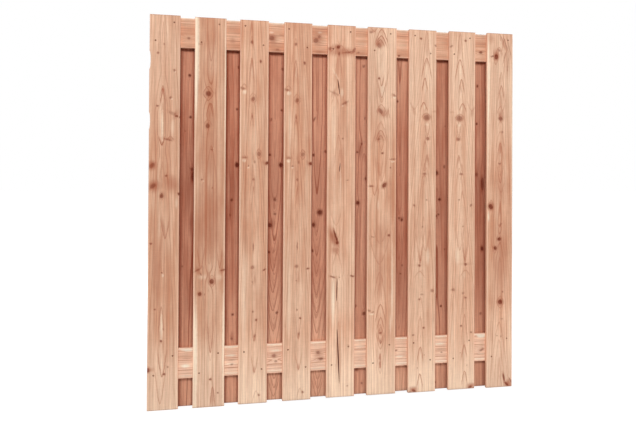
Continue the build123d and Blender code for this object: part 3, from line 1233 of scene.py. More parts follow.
FRONT_LOOKS: tuple[BoardLook, ...] = (
    BoardLook(
        Figure(pith=-8, depth=9, apex=840, taper=38, sway=6, swell=5, contrast=0.34), 0.985,
        knots=marks(Knot, (65, 1666, 5, 7, 0.5), (38, 1625, 8, 8, 0.6), (111, 1548, 8, 9, 0.6, -20),
            (95, 1423, 8, 8, 0.6), (38, 1383, 10, 7, 0.65), (105, 1350, 12, 34, 0.32, -64),
            (123, 1338, 8, 14, 0.8, -70), (138, 1334, 7, 8, 0.7), (85, 1230, 7, 34, 0.4, -74),
            (16, 1112, 14, 24, 0.5, 40), (20, 1018, 16, 28, 0.55, 50), (79, 1065, 10, 8, 0.65),
            (59, 974, 13, 20, 0.85, 6), (135, 982, 8, 12, 0.95, -30), (13, 757, 9, 8, 0.65),
            (62, 623, 7, 6, 0.6), (32, 458, 8, 7, 0.55), (70, 366, 5, 9, 0.4), (61, 313, 8, 9, 0.85),
            (75, 163, 10, 9, 0.75), (4, 184, 14, 18, 0.8), (91, 195, 7, 7, 0.45)),
        eyes=marks(Eye, (62, 1330, 90, 190, -13), (60, 1180, 100, 90, 7), (62, 1540, 110, 130, 9)),
        pales=marks(Pale, (60, 1290, 16, 190, 0.6), (116, 1541, 12, 10, 0.7), (101, 1416, 12, 10, 0.7),
            (62, 370, 16, 200, 0.6), (78, 1690, 14, 260, 0.4), (126, 940, 16, 60, 0.4),
            (66, 612, 12, 20, 0.6), (64, 200, 16, 120, 0.5), (118, 110, 40, 200, 0.2),
            (50, 840, 12, 160, 0.3), (104, 1290, 26, 90, 0.3), (80, 1600, 400, 800, 0.2)),
        stains=marks(Stain, (16, 1112, 48, 50, 0.75), (26, 1018, 60, 66, 0.75),
            (104, 1030, 76, 100, 0.55, -30), (36, 640, 44, 300, 0.4), (120, 1345, 60, 26, 0.4, -65),
            (92, 1232, 60, 16, 0.3), (70, 820, 14, 150, 0.45, -8), (70, 300, 18, 90, 0.3),
            (10, 186, 50, 26, 0.45), (62, 1452, 12, 50, 0.5), (60, 1212, 16, 26, 0.35),
            (70, 60, 260, 240, 0.16)),
        arches=marks(Arch, (61, 1460, 26, 90, 0.75), (58, 1206, 30, -46, 0.8), (70, 1420, 14, 240, 0.3),
            (60, 1850, 56, 330, 0.35), (62, 1760, 26, 260, 0.3), (75, 780, 42, -110, 0.55),
            (61, 466, 30, 160, 0.5), (66, 152, 46, -150, 0.6), (58, 30, 60, -230, 0.4),
            (64, 610, 30, -180, 0.3), (96, 1246, 34, 24, 0.5), (60, 1110, 60, 260, 0.25))),
    BoardLook(
        Figure(pith=0, depth=12, apex=900, taper=1.5, sway=4, swell=3, shift=3.5, contrast=0.4), 0.95,
        knots=marks(Knot, (266, 1446, 22, 22, 0.85, 0, 0.5), (263, 1297, 16, 19, 0.8),
            (283, 1188, 12, 5, 0.4), (238, 1050, 7, 7, 0.5), (286, 1010, 7, 5, 0.3),
            (286, 578, 18, 20, 0.85, 0, 0.5), (232, 522, 15, 16, 0.9), (254, 519, 5, 9, 0.4),
            (221, 631, 7, 24, 0.45, 64), (237, 612, 6, 14, 0.4, -30), (336, 629, 7, 20, 0.55, 80),
            (282, 128, 9, 8, 0.85), (317, 62, 7, 7, 0.55), (229, 1674, 14, 4, 0.35)),
        eyes=marks(Eye, (267, 1448, 100, 130, 9), (270, 615, 150, 60, 6)),
        pales=marks(Pale, (206, 1620, 36, 560, 2.0), (208, 130, 36, 760, 1.8),
            (345, 1480, 12, 860, 1.2), (344, 200, 20, 800, 1.5), (206, 900, 6, 760, 0.5),
            (342, 900, 5, 700, 0.4), (244, 600, 50, 30, 0.3), (322, 596, 34, 34, 0.25),
            (246, 1042, 8, 8, 0.6), (282, 1600, 60, 200, 0.2)),
        stains=marks(Stain, (272, 860, 150, 420, 0.42), (272, 1140, 160, 360, 0.2),
            (222, 630, 46, 26, 0.45, 60), (336, 628, 34, 22, 0.4), (292, 40, 14, 110, 0.45),
            (284, 320, 10, 160, 0.25), (272, 1350, 14, 70, 0.35), (286, 578, 40, 44, 0.3),
            (276, 60, 260, 300, 0.2)),
        arches=marks(Arch, (277, 1598, 40, -180, 0.4), (276, 1560, 70, -300, 0.15),
            (272, 1402, 36, 80, 0.65), (265, 1480, 56, 40, 0.6, 2.6), (265, 1414, 56, -40, 0.6, 2.6),
            (264, 1325, 46, 34, 0.35), (280, 1205, 60, 220, 0.3), (282, 253, 34, -180, 0.6),
            (282, 216, 80, -420, 0.2), (293, 90, 24, 110, 0.65, 3.6), (286, 606, 40, 30, 0.4, 2.2),
            (286, 552, 34, -26, 0.4, 2.2), (236, 640, 40, -120, 0.45), (322, 640, 26, -100, 0.45))),
    THIRD_LOOK,
    THIRD_LOOK.moved(209.0),
    BoardLook(
        Figure(pith=-14, depth=8, apex=900, taper=3, sway=5, swell=3, ring=13, shift=4, contrast=0.3), 1.07,
        knots=marks(Knot, (842, 1682, 14, 12, 0.6, -40), (881, 1690, 15, 16, 0.85),
            (886, 1660, 8, 14, 0.6), (935, 1668, 6, 56, 0.45, 82), (961, 1682, 9, 22, 0.55, 40),
            (863, 1468, 8, 46, 0.28, -66), (916, 1422, 9, 28, 0.45, 62), (873, 777, 8, 58, 1.0, -18),
            (881, 748, 13, 15, 1.0, -14), (859, 583, 6, 26, 0.5, -70), (956, 585, 7, 16, 0.85, -85),
            (893, 580, 6, 6, 0.4), (931, 1049, 12, 4, 0.4), (906, 1249, 8, 7, 0.45),
            (934, 57, 8, 5, 0.4), (938, 252, 7, 7, 0.2)),
        eyes=marks(Eye, (884, 1676, 200, 50, 6), (878, 750, 100, 110, 8), (884, 582, 180, 40, 5)),
        pales=marks(Pale, (868, 1560, 12, 100, 0.4, -30), (900, 1470, 24, 60, 0.5),
            (905, 1408, 14, 12, 0.5), (862, 480, 26, 320, 0.8), (900, 520, 240, 420, 0.3),
            (890, 560, 12, 60, 0.5), (895, 100, 16, 260, 0.6), (905, 250, 10, 300, 0.45),
            (868, 150, 30, 340, 0.4), (920, 550, 24, 320, 0.35), (896, 1040, 8, 260, 0.5),
            (860, 1300, 24, 300, 0.3), (832, 900, 5, 1900, 0.4), (900, 900, 900, 9000, 0.1)),
        stains=marks(Stain, (900, 1668, 190, 52, 0.6), (870, 1688, 70, 40, 0.5),
            (888, 200, 12, 280, 0.4, -3), (884, 1500, 10, 80, 0.4, -8), (880, 520, 9, 120, 0.4),
            (860, 1470, 56, 18, 0.4, -66), (920, 1422, 40, 18, 0.4, 62), (862, 770, 42, 130, 0.8, -22),
            (872, 712, 44, 50, 0.6), (884, 1310, 14, 260, 0.35), (862, 583, 50, 12, 0.35),
            (882, 1600, 14, 140, 0.35), (902, 1240, 60, 500, 0.15)),
        arches=marks(Arch, (884, 1652, 44, 150, 0.4), (885, 1264, 50, 190, 0.35),
            (892, 1190, 24, 160, 0.3), (866, 1460, 40, 60, 0.35), (880, 700, 50, 90, 0.35),
            (874, 830, 60, -80, 0.3), (946, 1662, 56, -24, 0.55), (846, 1668, 40, -26, 0.5),
            (893, 1700, 50, 30, 0.4), (880, 560, 16, 200, 0.3), (888, 360, 30, 340, 0.3))),
    BoardLook(
        Figure(pith=-6, depth=14, apex=1010, taper=5, sway=6, swell=4, ring=13, contrast=0.36), 1.04,
        knots=marks(Knot, (1086, 1708, 15, 22, 0.55, -15), (1046, 1772, 14, 9, 0.45),
            (1087, 1547, 8, 8, 0.8), (1166, 1466, 18, 8, 0.35, 30), (1095, 1388, 16, 28, 0.55, -28),
            (1087, 1250, 12, 7, 0.5), (1106, 1182, 10, 8, 0.8), (1159, 1153, 28, 5, 0.5),
            (1147, 1110, 6, 6, 0.5), (1049, 1020, 20, 7, 0.5), (1116, 1025, 15, 24, 0.85, 42),
            (1140, 779, 11, 10, 0.8), (1058, 773, 14, 5, 0.4), (1042, 415, 14, 8, 0.5, 30),
            (1060, 406, 12, 5, 0.4), (1100, 303, 14, 6, 0.6), (1101, 260, 6, 14, 0.35)),
        eyes=marks(Eye, (1088, 1722, 96, 130, -30), (1098, 1580, 84, 220, -17),
            (1088, 1215, 74, 190, -16), (1066, 985, 60, 80, 8), (1100, 300, 84, 190, -30),
            (1099, 160, 40, 90, -10)),
        pales=marks(Pale, (1108, 1485, 34, 110, 0.7), (1104, 1600, 40, 160, 0.45),
            (1166, 1456, 26, 16, 0.75), (1060, 1610, 20, 200, 0.35), (1158, 1140, 26, 10, 0.55),
            (1054, 397, 34, 10, 0.65), (1040, 1400, 8, 600, 0.5), (1158, 520, 16, 560, 0.5),
            (1060, 210, 20, 90, 0.4), (1085, 930, 14, 60, 0.35), (1034, 900, 6, 1900, 0.45),
            (1150, 340, 12, 130, 0.5), (1100, 1600, 400, 800, 0.35)),
        stains=marks(Stain, (1087, 1722, 54, 60, 0.5), (1112, 1378, 60, 60, 0.45, -30),
            (1087, 1262, 50, 60, 0.35), (1160, 1466, 28, 26, 0.3), (1116, 1025, 36, 40, 0.3),
            (1050, 1020, 34, 16, 0.3), (1098, 600, 60, 240, 0.3), (1099, 166, 12, 70, 0.5),
            (1052, 1780, 40, 30, 0.3), (1100, 310, 30, 40, 0.3), (1110, 780, 90, 160, 0.25)),
        arches=marks(Arch, (1099, 1788, 76, 90, 0.7), (1097, 1757, 66, 66, 0.75),
            (1093, 1738, 48, 44, 0.7), (1060, 1776, 40, -24, 0.5), (1087, 1722, 28, 26, 0.5),
            (1100, 1511, 26, -60, 0.6), (1101, 1452, 50, -110, 0.6), (1101, 1430, 90, -240, 0.35),
            (1098, 1420, 60, 50, 0.45), (1112, 1362, 64, -60, 0.4), (1134, 1392, 16, 50, 0.5),
            (1097, 1294, 64, 70, 0.55), (1096, 1268, 44, 44, 0.5), (1096, 1330, 96, 140, 0.35),
            (1100, 1196, 40, -90, 0.35), (1094, 1072, 36, -110, 0.4), (1066, 975, 28, -60, 0.5),
            (1100, 1045, 70, -150, 0.25), (1096, 740, 90, -100, 0.3), (1094, 600, 64, 150, 0.4),
            (1094, 545, 34, 120, 0.35), (1092, 640, 120, -170, 0.35), (1099, 443, 60, 110, 0.6),
            (1100, 379, 40, 70, 0.6), (1101, 334, 24, 36, 0.5), (1101, 252, 32, -60, 0.6),
            (1100, 226, 56, -110, 0.4), (1098, 200, 10, 36, 0.7), (1098, 138, 10, -36, 0.7),
            (1099, 108, 60, -200, 0.3))),
    SEVENTH_LOOK,
    replace(SEVENTH_LOOK.moved(2843.0, -1), lightness=1.06,
            figure=replace(SEVENTH_LOOK.figure, pith=4.0, lean=-20.0)),
    BoardLook(
        Figure(pith=2, depth=10, apex=1523, taper=44, sway=7, swell=5, ring=12, contrast=0.4), 1.04,
        knots=marks(Knot, (1708, 1681, 18, 24, 0.95), (1682, 1680, 8, 7, 0.5),
            (1724, 1714, 8, 14, 0.5, -40), (1733, 1365, 20, 18, 0.7, 25), (1743, 1297, 9, 9, 0.5),
            (1728, 1136, 12, 8, 0.5), (1680, 917, 20, 24, 1.0, -30), (1736, 827, 9, 14, 0.35, 40),
            (1727, 753, 15, 17, 1.0, 30), (1705, 707, 15, 17, 0.95, -20), (1746, 484, 7, 8, 0.45),
            (1733, 433, 22, 22, 0.95), (1742, 346, 12, 5, 0.3), (1717, 262, 8, 6, 0.35),
            (1738, 258, 7, 9, 0.3), (1754, 48, 8, 36, 0.85, -12), (1768, 16, 10, 24, 0.85, -45),
            (1790, 34, 6, 22, 0.6, -30), (1738, 1776, 5, 60, 0.32, -28), (1758, 1752, 5, 84, 0.34, -20),
            (1777, 1738, 5, 90, 0.3, -14), (1752, 1676, 5, 56, 0.32, 16), (1772, 1640, 5, 80, 0.28, 6)),
        eyes=marks(Eye, (1730, 735, 150, 120, 7), (1740, 1780, 70, 80, -14)),
        pales=marks(Pale, (1664, 1550, 20, 520, 1.7), (1663, 1200, 8, 420, 0.7),
            (1668, 868, 14, 56, 0.8), (1662, 500, 6, 760, 0.4), (1738, 1490, 16, 70, 0.45),
            (1732, 1170, 12, 80, 0.35), (1797, 1400, 8, 1000, 1.3), (1740, 180, 40, 280, 0.4),
            (1690, 120, 34, 220, 0.4), (1783, 250, 24, 340, 0.35), (1735, 1770, 60, 70, 0.3),
            (1716, 1630, 20, 100, 0.3), (1730, 1560, 400, 800, 0.35)),
        stains=marks(Stain, (1708, 1690, 40, 70, 0.5), (1748, 1745, 16, 90, 0.45, -25),
            (1680, 1770, 34, 60, 0.3), (1735, 1380, 40, 60, 0.4), (1732, 1220, 24, 70, 0.3),
            (1735, 620, 110, 460, 0.36), (1680, 920, 34, 60, 0.4), (1780, 16, 60, 56, 0.8),
            (1756, 36, 24, 70, 0.4), (1733, 433, 40, 44, 0.4), (1738, 1010, 80, 200, 0.3),
            (1785, 900, 20, 1000, 0.2), (1730, 40, 240, 300, 0.16)),
        arches=marks(Arch, (1736, 1534, 34, 90, 0.6), (1736, 1600, 60, 260, 0.35),
            (1706, 1640, 40, -110, 0.45), (1724, 1730, 50, 60, 0.5), (1752, 1770, 40, 120, 0.45),
            (1760, 1700, 24, 160, 0.45), (1744, 1404, 40, -80, 0.4), (1731, 1428, 40, 50, 0.45),
            (1731, 1240, 40, 110, 0.5), (1732, 1040, 40, -110, 0.5), (1732, 1200, 20, 110, 0.35),
            (1734, 1076, 20, -90, 0.35), (1731, 1300, 60, 120, 0.3), (1736, 990, 40, -60, 0.35),
            (1682, 950, 30, 40, 0.4), (1726, 780, 40, 60, 0.35), (1703, 680, 40, -60, 0.35),
            (1733, 462, 50, 40, 0.35), (1733, 402, 50, -40, 0.35), (1728, 330, 120, 420, 0.35),
            (1728, 240, 70, 300, 0.3))),
)

# Arches inside one another, on the third back board and a little lower on the fourth
NESTED_ARCHES = marks(
    Arch, (574, 615, 48, -150, 0.5), (574, 512, 54, -170, 0.55),
    (575, 425, 58, -150, 0.55), (577, 328, 58, -150, 0.5), (572, 800, 36, -130, 0.4),
    (574, 700, 44, -140, 0.4), (583, 104, 44, -90, 0.5), (583, 60, 54, -110, 0.5),
    (580, 20, 60, -110, 0.5))

BACK_LOOKS: tuple[BoardLook, ...] = (
    BoardLook(
        Figure(pith=30, depth=20, apex=1500, taper=20, contrast=0.8), 1.05,
        knots=marks(Knot, (180, 1532, 9, 11, 0.85), (185, 1338, 9, 9, 0.85), (162, 1273, 6, 5, 0.3),
            (199, 1062, 14, 40, 0.7), (196, 1096, 14, 16, 0.5, 40), (152, 646, 8, 8, 0.3)),
        pales=marks(Pale, (160, 470, 12, 160, 0.3), (155, 1350, 8, 200, 0.2)),
        stains=marks(Stain, (196, 1070, 30, 130, 0.8), (178, 1020, 70, 420, 0.4),
            (192, 850, 30, 160, 0.5), (180, 500, 14, 260, 0.25))),
    BoardLook(
        Figure(pith=-20, depth=20, apex=1500, taper=16, contrast=0.8), 1.12,
        knots=marks(Knot, (405, 1579, 7, 12, 0.6), (400, 1381, 8, 9, 0.7), (402, 1118, 15, 17, 1.0),
            (377, 953, 10, 12, 0.7), (370, 882, 8, 9, 0.35), (385, 415, 8, 9, 0.85),
            (381, 302, 8, 8, 0.4)),
        pales=marks(Pale, (400, 700, 10, 400, 0.25)),
        stains=marks(Stain, (402, 1120, 34, 40, 0.5), (370, 920, 30, 160, 0.35),
            (375, 1020, 60, 300, 0.3), (382, 310, 20, 60, 0.35))),
    BoardLook(
        Figure(pith=-3, depth=12, apex=900, taper=4, sway=3, swell=3, shift=4, contrast=0.8), 1.13,
        knots=marks(Knot, (615, 1578, 8, 12, 0.6), (612, 1381, 8, 9, 0.7), (562, 1335, 6, 12, 0.5, 20),
            (556, 1168, 9, 9, 0.85), (610, 1119, 15, 17, 1.0), (582, 953, 10, 12, 0.6),
            (582, 886, 10, 9, 0.5), (558, 832, 17, 18, 0.92), (554, 704, 8, 10, 0.8),
            (594, 415, 9, 9, 0.7)),
        eyes=marks(Eye, (578, 0, 420, 1400, 120)),
        pales=marks(Pale, (580, 0, 500, 1400, 1.3), (577, 560, 12, 60, 0.3),
            (580, 900, 900, 9000, 0.25)),
        stains=marks(Stain, (610, 1120, 34, 40, 0.5), (566, 845, 40, 60, 0.4),
            (582, 1020, 60, 320, 0.25)),
        arches=NESTED_ARCHES),
    BoardLook(
        Figure(pith=-3, depth=12, apex=900, taper=4, sway=3, swell=3, shift=6, contrast=0.8), 1.14,
        knots=marks(Knot, (827, 1187, 8, 12, 0.7), (768, 1169, 9, 10, 0.85), (801, 892, 19, 19, 0.85),
            (769, 832, 14, 16, 0.9), (766, 707, 8, 12, 0.8), (820, 136, 16, 13, 0.95),
            (772, 1343, 6, 18, 0.5, 20)),
        eyes=marks(Eye, (787, 0, 420, 1480, 120)),
        pales=marks(Pale, (790, 0, 500, 1400, 1.35), (787, 660, 12, 60, 0.3),
            (790, 900, 900, 9000, 0.4)),
        stains=marks(Stain, (800, 892, 46, 50, 0.45), (770, 836, 34, 50, 0.4),
            (790, 1020, 60, 300, 0.2)),
        arches=moved(NESTED_ARCHES, 212, -18)),
    BoardLook(
        Figure(pith=20, depth=20, apex=1400, taper=16, contrast=0.8), 1.12,
        knots=marks(Knot, (1018, 1609, 10, 12, 0.45, 30), (1024, 1353, 6, 10, 0.4),
            (1009, 1228, 7, 9, 0.6), (987, 1186, 10, 8, 0.6), (1029, 1056, 7, 12, 0.6),
            (990, 937, 14, 15, 0.9), (984, 433, 9, 8, 0.35), (1025, 395, 12, 14, 0.8),
            (988, 127, 14, 14, 0.5), (1015, 55, 8, 9, 0.4)),
        eyes=marks(Eye, (1010, 1240, 100, 120, 8)),
        pales=marks(Pale, (990, 1500, 10, 200, 0.25), (1000, 900, 900, 9000, 0.45)),
        stains=marks(Stain, (1000, 1200, 50, 110, 0.4), (990, 937, 34, 40, 0.4),
            (990, 126, 34, 40, 0.4), (985, 700, 30, 400, 0.25))),
    BoardLook(
        Figure(pith=-4, depth=14, apex=1500, taper=-40, sway=5, swell=5, contrast=0.75), 1.08,
        knots=marks(Knot, (1191, 1442, 9, 10, 0.7), (1203, 861, 8, 9, 0.6), (1218, 852, 8, 12, 0.8),
            (1212, 585, 8, 8, 0.5), (1220, 626, 6, 8, 0.4)),
        pales=marks(Pale, (1215, 1300, 14, 400, 0.25), (1205, -20, 300, 420, 1.3),
            (1205, 1640, 300, 700, 0.5)),
        stains=marks(Stain, (1188, 800, 24, 700, 0.5), (1205, 500, 200, 460, 0.2),
            (1212, 858, 34, 34, 0.4))),
    BoardLook(
        Figure(pith=-18, depth=20, apex=1500, taper=18, contrast=0.8), 1.03,
        knots=marks(Knot, (1393, 1320, 8, 9, 0.7), (1446, 1323, 6, 7, 0.4), (1441, 1118, 9, 14, 0.5),
            (1397, 1086, 16, 17, 1.0), (1417, 953, 13, 12, 0.85), (1397, 871, 10, 10, 0.7),
            (1411, 878, 8, 8, 0.6), (1392, 674, 7, 12, 0.7), (1445, 702, 6, 8, 0.4),
            (1397, 462, 8, 9, 0.6), (1426, 416, 9, 9, 0.8), (1395, 36, 9, 10, 0.7)),
        pales=marks(Pale, (1430, 1500, 10, 200, 0.2)),
        stains=marks(Stain, (1400, 1086, 40, 40, 0.45), (1400, 870, 40, 40, 0.45),
            (1416, 960, 60, 400, 0.25))),
    BoardLook(
        Figure(pith=-16, depth=20, apex=1400, taper=14, contrast=0.8), 1.02,
        knots=marks(Knot, (1620, 1532, 8, 11, 0.8), (1616, 1339, 9, 10, 0.8), (1617, 1080, 14, 14, 0.4),
            (1650, 1032, 16, 60, 0.6), (1649, 702, 12, 18, 0.9), (1641, 370, 10, 10, 0.45)),
        eyes=marks(Eye, (1620, 1080, 80, 120, 9)),
        pales=marks(Pale, (1615, 1700, 12, 200, 0.2)),
        stains=marks(Stain, (1650, 1030, 30, 130, 0.6), (1618, 1080, 40, 60, 0.4),
            (1625, 1000, 70, 420, 0.3), (1648, 702, 24, 50, 0.5))),
)

# Painted highlight: the pale streak along the whole top edge of the upper rail
UPPER_RAIL_LOOK = BoardLook(
    Figure(pith=12, depth=16, apex=900, taper=3, sway=16, swell=6, ring=9, contrast=0.5), 1.05,
    knots=marks(Knot, (175, 1701, 12, 8, 0.5), (559, 1721, 22, 20, 0.55), (773, 1720, 20, 20, 0.5),
        (791, 1740, 14, 12, 0.45), (1193, 1665, 11, 7, 0.8), (985, 1672, 9, 8, 0.35),
        (1630, 1702, 14, 10, 0.75), (588, 1668, 14, 8, 0.35)),
    eyes=marks(Eye, (175, 1701, 80, 46, -22), (1630, 1702, 60, 40, -14)),
    pales=marks(Pale, (559, 1748, 26, 12, 0.4), (793, 1760, 24, 12, 0.4), (580, 1790, 80, 10, 0.5),
        (900, 1794, 6000, 12, 1.0)),
    stains=marks(Stain, (566, 1716, 50, 60, 0.5), (782, 1728, 70, 80, 0.45), (790, 1666, 60, 20, 0.35),
        (580, 1665, 60, 20, 0.3), (375, 1700, 30, 30, 0.3)))
# Painted highlight: the pale streaks along the lower rail's top edge, strongest in the end bays. Painted
# light: the broad pale wash over the rail from below
LOWER_RAIL_LOOK = BoardLook(
    Figure(pith=-10, depth=12, apex=900, taper=-2, sway=20, swell=9, ring=8, contrast=0.78), 1.18,
    knots=marks(Knot, (382, 186, 9, 7, 0.45), (579, 216, 15, 13, 0.5), (588, 189, 11, 9, 0.45),
        (792, 220, 16, 12, 0.55), (806, 189, 18, 10, 0.65), (1184, 210, 10, 6, 0.6),
        (1423, 189, 8, 5, 0.5), (1640, 190, 20, 9, 0.4, 30)),
    eyes=marks(Eye, (1000, 205, 400, 50, -9), (1640, 188, 80, 34, -10), (590, 205, 120, 70, 5),
        (800, 204, 110, 70, 5)),
    pales=marks(Pale, (186, 272, 84, 34, 2.4), (1640, 270, 64, 40, 2.4), (375, 264, 50, 8, 0.5),
        (900, 272, 6000, 16, 1.6), (900, -40, 6000, 900, 0.45), (375, 228, 90, 12, 0.8),
        (375, 188, 90, 10, 0.8), (170, 190, 60, 24, 0.9), (590, 240, 90, 14, 0.7),
        (1000, 238, 90, 18, 0.5), (1200, 180, 90, 14, 0.8), (1410, 232, 90, 16, 0.9),
        (1640, 170, 60, 14, 0.6), (900, 146, 6000, 12, 0.7)),
    stains=marks(Stain, (380, 206, 44, 9, 0.4), (582, 214, 44, 28, 0.3), (796, 205, 64, 60, 0.4),
        (178, 224, 60, 7, 0.22), (178, 172, 60, 6, 0.22), (1420, 205, 70, 9, 0.35),
        (1640, 192, 50, 20, 0.35), (1000, 176, 80, 7, 0.3), (1200, 222, 80, 7, 0.2),
        (1420, 172, 80, 7, 0.2)))

# Painted light: pale washes over the lower part of the front and back boards, lighter towards the foot, for
# the light that the floor throws up
FOOT_PAINTED_LIGHT = Pale(900, -40, 6000, 760, 0.6)
BACK_FOOT_PAINTED_LIGHT = Pale(900, -60, 6000, 1500, 0.6)
BOARD_ONE_HOLLOWS = (Hollow(1592, 84, 5.0), Hollow(1316, 76, 4.6))
BOARD_FIVE_SPLITS = (
    Split(888.5, 71, 332, 5.6, -12), Split(880, 465, 576, 4.0, 3), Split(891.5, 1088, 1132, 4.0, 3),
    Split(884.5, 1462, 1536, 4.6, -10))

# How strong the painted shade is in the strips beside the gap of each back board, left and right.
# Then the strips of painted shade at the edges of the left board and the right board, and the
# painted shadow under the upper rail
LEFT_SHADES = (0.7, 0.7, 0.7, 0.75, 0.8, 1.1, 1.05, 0.95)
RIGHT_SHADES = (0.6, 0.65, 0.6, 0.45, 0.33, 0.12, 0.36, 0.44)
LEFT_SHADE = Stain(2, 900, 28, 6000, 1.0)
RIGHT_SHADE = Stain(0, 900, 20, 6000, 1.0)
RAIL_SHADOW = Stain(0, -5, 900, 26, 0.6)


def painted_gap_shade() -> tuple[tuple[Stain, ...], ...]:
    """The strips of painted shade on each back board's seen face where the front boards and the
    upper rail cover it, and a little way out into the gap, with the painted shadow under the rail."""
    found = []
    under = (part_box("upper_rail")[0][2] - CAD_LOW[2]) / MM
    for number, (on_left, on_right) in enumerate(zip(LEFT_SHADES, RIGHT_SHADES), start=1):
        left = (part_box(f"front_board_{number}")[1][0] - CAD_LOW[0]) / MM
        right = (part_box(f"front_board_{number + 1}")[0][0] - CAD_LOW[0]) / MM
        strips = moved((replace(LEFT_SHADE, strength=on_left),), left)
        strips += moved((replace(RIGHT_SHADE, strength=on_right),), right)
        strips += moved((RAIL_SHADOW,), (left + right) / 2, under)
        found.append(strips)
    return tuple(found)


def oval_share(value: float, low: float, high: float) -> float:
    """Height of a half circle over the stretch from low to high, 1 at its middle."""
    middle = (low + high) / 2
    half = (high - low) / 2
    share = (value - middle) / half
    return math.sqrt(1 - share * share) if abs(share) < 1 else 0.0


def planed_box(node: str) -> tuple[Vector, Vector]:
    """A node's box, with the panel's two outer faces planed down to leave room for the crowns
    of the screw heads inside the CAD model's box."""
    low, high = (Vector(corner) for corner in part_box(node))
    low.y = max(low.y, CAD_LOW[1] + HEAD_ROOM)
    high.y = min(high.y, CAD_HIGH[1] - HEAD_ROOM)
    return low, high


def span_of(node: str, grain: Grain) -> tuple[float, float, float, float]:
    """A node's middle and half width across its fibres and its two ends, in panel millimetres.

    Args:
        node: The CAD node.
        grain: The way its fibres run.

    Returns:
        Middle, half width, low end and high end, counted from the panel's left or foot.
    """
    low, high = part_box(node)
    across, along = (0, 2) if grain is Grain.UP else (2, 0)
    start, end = ((corner[across] - CAD_LOW[across]) / MM for corner in (low, high))
    first, last = ((corner[along] - CAD_LOW[along]) / MM for corner in (low, high))
    return (start + end) / 2, (end - start) / 2, first, last


# Share of an edge's length that lies along Z where it runs along the fibres, and the distance
# in metres at which a vertex counts as on a sawn end
ALONG_SHARE = 0.9
TOUCHING = 1e-6


